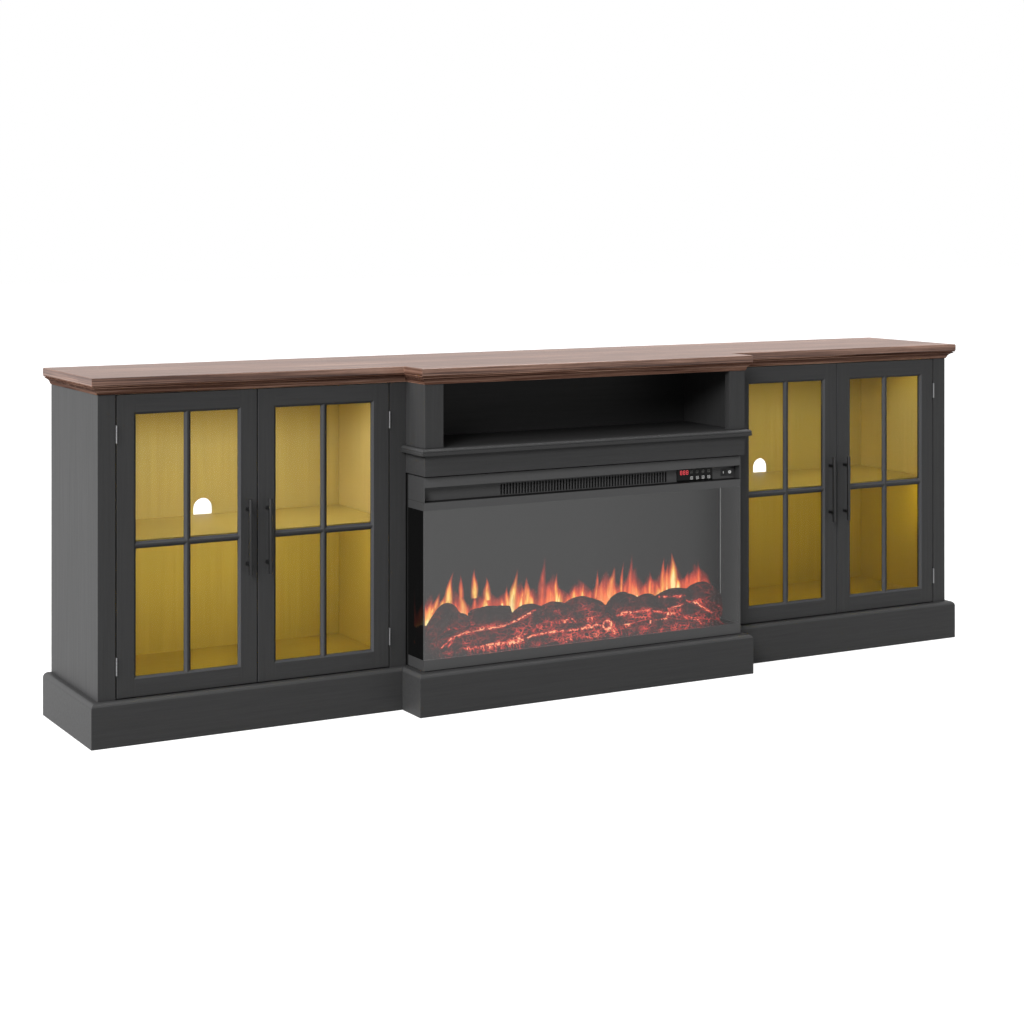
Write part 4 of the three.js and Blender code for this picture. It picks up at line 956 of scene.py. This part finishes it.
def rolled_log(number, crack_heat, rows):
    points = [
        (x * log_half, log_front + y * log_depth, log_floor + z * log_reach, r * log_radius)
        for x, y, z, r in rows
    ]
    length = sum(math.dist(first[:3], second[:3]) for first, second in zip(points, points[1:]))
    steps = max(40, int(length / 0.0022))
    log = started(bpy.ops.mesh.primitive_grid_add, x_subdivisions=steps, y_subdivisions=44, size=2)
    log.name = f"log_{number}"
    heats = []
    for vertex in log.data.vertices:
        share, turn = (vertex.co.x + 1) / 2, math.pi * vertex.co.y
        x, y, z, radius = through(points, share)
        nearby = through(points, min(share + 0.01, 1.0))
        behind = through(points, max(share - 0.01, 0.0))
        ahead = (Vector(nearby[:3]) - Vector(behind[:3])).normalized()
        side = ahead.cross(Vector((0, 0, 1))).normalized()
        up = side.cross(ahead)
        # The bark: cracks between its scales, swellings, a slightly squared round and rounded ends
        along = share * length / radius * 0.55
        round_place = Vector((along, 1.5 * math.cos(turn), 1.5 * math.sin(turn)))
        seeded = round_place + Vector((number * 7.3, number * 3.1, 0))
        scales = lumps.voronoi(seeded * bark_scale)[0]
        crack = max(0.0, 1.0 - (scales[1] - scales[0]) / 0.13)
        swell = lumps.noise(seeded * 0.6) * 0.16 + lumps.noise(seeded * 2.1) * 0.07
        squared = 1.0 + 0.10 * math.cos(4 * turn + number)
        end = 1.0 - 0.10 * abs(2 * share - 1) ** 10
        radius *= (0.98 + swell - 0.13 * crack) * squared * end
        spot = Vector((x, y, z)) + side * radius * math.cos(turn) + up * radius * math.sin(turn)
        spot.x = max(log_ends[0], min(log_ends[1], spot.x))
        spot.y = max(log_faces[0], min(log_faces[1], spot.y))
        spot.z = max(bed_floor, spot.z)
        vertex.co = spot
        seen = -side.y * math.cos(turn) > -0.3
        low = (0.5 - 0.5 * math.sin(turn)) ** 1.6
        heats.append((ember_heat(spot) if seen else 0.0, crack_heat * (0.62 + 0.85 * low)))
    warmed(log, heats)
    bpy.ops.object.mode_set(mode="EDIT")
    bpy.ops.mesh.select_all(action="SELECT")
    bpy.ops.mesh.remove_doubles(threshold=0.0002)
    bpy.ops.mesh.select_all(action="DESELECT")
    bpy.ops.mesh.select_mode(type="EDGE")
    bpy.ops.mesh.select_non_manifold()
    bpy.ops.mesh.fill()
    turned_outward()
    return log


logs = [rolled_log(number, *row) for number, row in enumerate(log_rows)]
coals = started(bpy.ops.mesh.primitive_grid_add, x_subdivisions=420, y_subdivisions=40, size=2)
coals.name = "coals"
heats = []
for vertex in coals.data.vertices:
    across, back = vertex.co.x, (vertex.co.y + 1) / 2
    x, y = across * 0.4390, log_front + 0.0004 + back * 0.071
    near = lumps.voronoi(Vector((x, y * 0.9, 0)) * 85)[0]
    gap = near[1] - near[0]
    dome = 0.006 * min(1.0, gap * 2.2) ** 0.5
    rough = 0.0018 * lumps.noise(Vector((x, y, 0)) * 240)
    slope_end = 1.0 - max(0.0, min(1.0, (across - 0.88) / 0.07)) ** 2
    z = 0.1176 + (0.076 * max(0.0, back - 0.12) + dome) * slope_end + rough
    vertex.co = (x, y, z)
    inner = max(0.0, 1.0 - abs(across) ** 6) * max(0.0, min(1.0, (back - 0.10) / 0.15))
    patch = 0.55 + 0.9 * lumps.noise(Vector((x, y, 3.0)) * 16)
    ember = 0.75 * inner * patch * (0.10 + 1.0 * max(0.0, 1.0 - gap / 0.22)) + ember_heat(vertex.co)
    heats.append((min(1.0, max(0.0, ember)), 0.55 * inner))
warmed(coals, heats)
bpy.ops.object.mode_set(mode="EDIT")
bpy.ops.mesh.select_all(action="SELECT")
bpy.ops.mesh.extrude_region_move(TRANSFORM_OT_translate={"value": (0, 0, -0.013)})
turned_outward()
log_pile = smoothed(joined("log_pile", [coals, *logs]), 60)
dressed(log_pile, charred, "carcass")
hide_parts("log_set")

# Flames: light that the rotor throws on the film screen behind the logs, in soft tongues that are
# yellow at the logs and red at the tips. Each tongue is a thin bowed sheet just before the screen.
screen_half, screen_front = 0.4312, -0.1212
# Each tongue in mm: its foot's x and z, its tip's x and z and half its width, then its warmth in
# hundredths
tongue_rows = [
    (-430, 150, -428, 215, 10, 35), (-418, 165, -407, 256, 13, 45), (-402, 175, -362, 264, 19, 85),
    (-385, 185, -384, 238, 14, 75), (-346, 215, -329, 310, 12, 70), (-355, 215, -354, 256, 12, 80),
    (-326, 190, -322, 240, 12, 70), (-305, 180, -306, 270, 15, 90), (-291, 180, -289, 228, 9, 55),
    (-306, 245, -311, 303, 7, 22), (-274, 190, -271, 262, 8, 28), (-272, 240, -271, 313, 10, 62),
    (-243, 205, -240, 250, 11, 90), (-236, 232, -240, 290, 10, 62), (-197, 205, -196, 236, 7, 95),
    (-183, 205, -183, 265, 8, 48), (-170, 185, -156, 302, 14, 100), (-146, 200, -140, 262, 13, 70),
    (-130, 205, -126, 282, 12, 60), (-117, 205, -116, 246, 10, 60), (-88, 205, -79, 327, 12, 10),
    (-70, 205, -67, 268, 8, 35), (-60, 200, -58, 252, 16, 85), (-46, 205, -46, 285, 9, 65),
    (-36, 205, -36, 244, 10, 75), (-12, 200, -12, 232, 10, 30), (5, 200, 7, 246, 12, 72),
    (28, 200, 31, 252, 9, 85), (50, 200, 50, 236, 8, 30), (68, 210, 75, 284, 6, 35),
    (83, 185, 86, 258, 15, 85), (103, 175, 119, 284, 20, 85), (101, 175, 104, 238, 13, 100),
    (122, 190, 122, 248, 9, 60), (140, 205, 148, 297, 6, 35), (166, 205, 172, 314, 9, 16),
    (176, 190, 170, 252, 14, 100), (186, 190, 187, 240, 10, 95), (213, 200, 212, 240, 10, 25),
    (226, 200, 226, 264, 10, 38), (250, 190, 252, 230, 13, 100), (264, 205, 268, 296, 9, 48),
    (277, 205, 277, 280, 9, 72), (295, 200, 293, 306, 15, 100), (310, 205, 310, 246, 9, 85),
    (338, 205, 340, 256, 12, 14), (362, 215, 361, 252, 14, 14), (372, 215, 372, 279, 7, 26),
    (392, 205, 391, 244, 16, 10), (-402, 150, -396, 262, 42, 16), (-330, 180, -326, 268, 40, 14),
    (-238, 190, -236, 268, 34, 14), (-148, 195, -146, 270, 36, 16), (-62, 200, -60, 282, 34, 14),
    (22, 200, 22, 262, 32, 14), (100, 190, 104, 276, 40, 16), (178, 195, 178, 278, 34, 14),
    (284, 195, 284, 290, 44, 16), (368, 200, 366, 272, 36, 13), (-430, 150, -430, 285, 6, 24),
    (-385, 165, -383, 248, 48, 24), (-318, 180, -316, 244, 50, 24), (-250, 185, -250, 248, 46, 22),
    (-188, 190, -186, 250, 46, 24), (-122, 190, -122, 252, 46, 24), (-52, 195, -52, 254, 46, 24),
    (16, 195, 16, 252, 44, 22), (88, 185, 88, 254, 48, 24), (158, 190, 158, 256, 44, 24),
    (228, 190, 228, 252, 46, 22), (292, 195, 292, 258, 46, 24), (352, 200, 352, 256, 40, 22),
    (-424, 155, -411, 226, 17, 95), (-411, 170, -398, 240, 17, 95), (-398, 180, -383, 250, 16, 90),
]


def flame_tongue(number, foot_x, foot_z, tip_x, tip_z, half_width, warm):
    tongue = started(bpy.ops.mesh.primitive_grid_add, x_subdivisions=10, y_subdivisions=26, size=2)
    tongue.name = f"tongue_{number}"
    warmth = tongue.data.attributes.new("warmth", "FLOAT", "POINT")
    warmth.data.foreach_set("value", [warm] * len(tongue.data.vertices))
    for vertex in tongue.data.vertices:
        u, v = vertex.co.x, (vertex.co.y + 1) / 2
        sway = 0.22 * half_width * math.sin(6.5 * v + 1.7 * number) * v
        swell = 0.80 + 0.45 * math.sin(math.pi * min(1.0, 1.25 * v))
        belly = half_width * (1.0 - v) ** 0.62 * swell
        x = foot_x + (tip_x - foot_x) * v ** 1.3 + sway + 1.18 * u * belly
        x = max(-screen_half, min(screen_half, x))
        y = screen_front - 0.00003 * (number % 7) - 0.0004 * (1 - u * u) * (1 - v)
        vertex.co = (x, y, foot_z + (tip_z - foot_z) * v)
    return tongue


flame_light, tree, face = new_finish(
    "flame_light", Base_Color=(0.0, 0.0, 0.0, 1), Roughness=1.0, Specular_IOR_Level=0.0,
    Emission_Strength=1.0,
)
sheet = parted(tree, added(tree, "ShaderNodeUVMap", {"uv_map": "UVMap"}).outputs["UV"])
off_middle = reckoned(tree, "ABSOLUTE", reckoned(tree, "SUBTRACT", sheet["X"], 0.5))
drawn_up = added(tree, "ShaderNodeMapping", Vector=object_place(tree), Scale=(130.0, 130.0, 28.0))
wisps = noise(tree, drawn_up.outputs["Vector"], 1.0, Detail=3.0)
warmth = added(tree, "ShaderNodeAttribute", {"attribute_name": "warmth"}).outputs["Fac"]
heat = multiplied(
    tree, spread(tree, off_middle, 1.0, 0.55, 0.0, 0.5),
    spread(tree, sheet["Y"], 1.12, 0.30, 0.25, 1.0),
    spread(tree, warmth, 0.30, 1.0), spread(tree, wisps, 0.82, 1.15, 0.3, 0.7),
)
veil = multiplied(
    tree, spread(tree, off_middle, 1.0, 0.0, 0.08, 0.5),
    spread(tree, sheet["Y"], 1.0, 0.0, 0.55, 1.0),
    spread(tree, warmth, 0.55, 1.0, 0.1, 0.6), spread(tree, wisps, 0.6, 1.3, 0.3, 0.7),
)
fed(tree, face, Alpha=veil, Emission_Color=tones(tree, heat, [
    (0.0, (0.340, 0.010, 0.008)), (0.22, (0.640, 0.040, 0.020)), (0.40, (0.930, 0.120, 0.032)),
    (0.58, (1.000, 0.320, 0.060)), (0.76, (1.000, 0.580, 0.130)), (0.95, (1.000, 0.800, 0.330)),
]))
flames = smoothed(joined("flame_tongues", [
    flame_tongue(number, *(part / 1000 for part in row[:5]), row[5] / 100)
    for number, row in enumerate(tongue_rows)
]), 180)
dressed(flames, flame_light, "carcass")
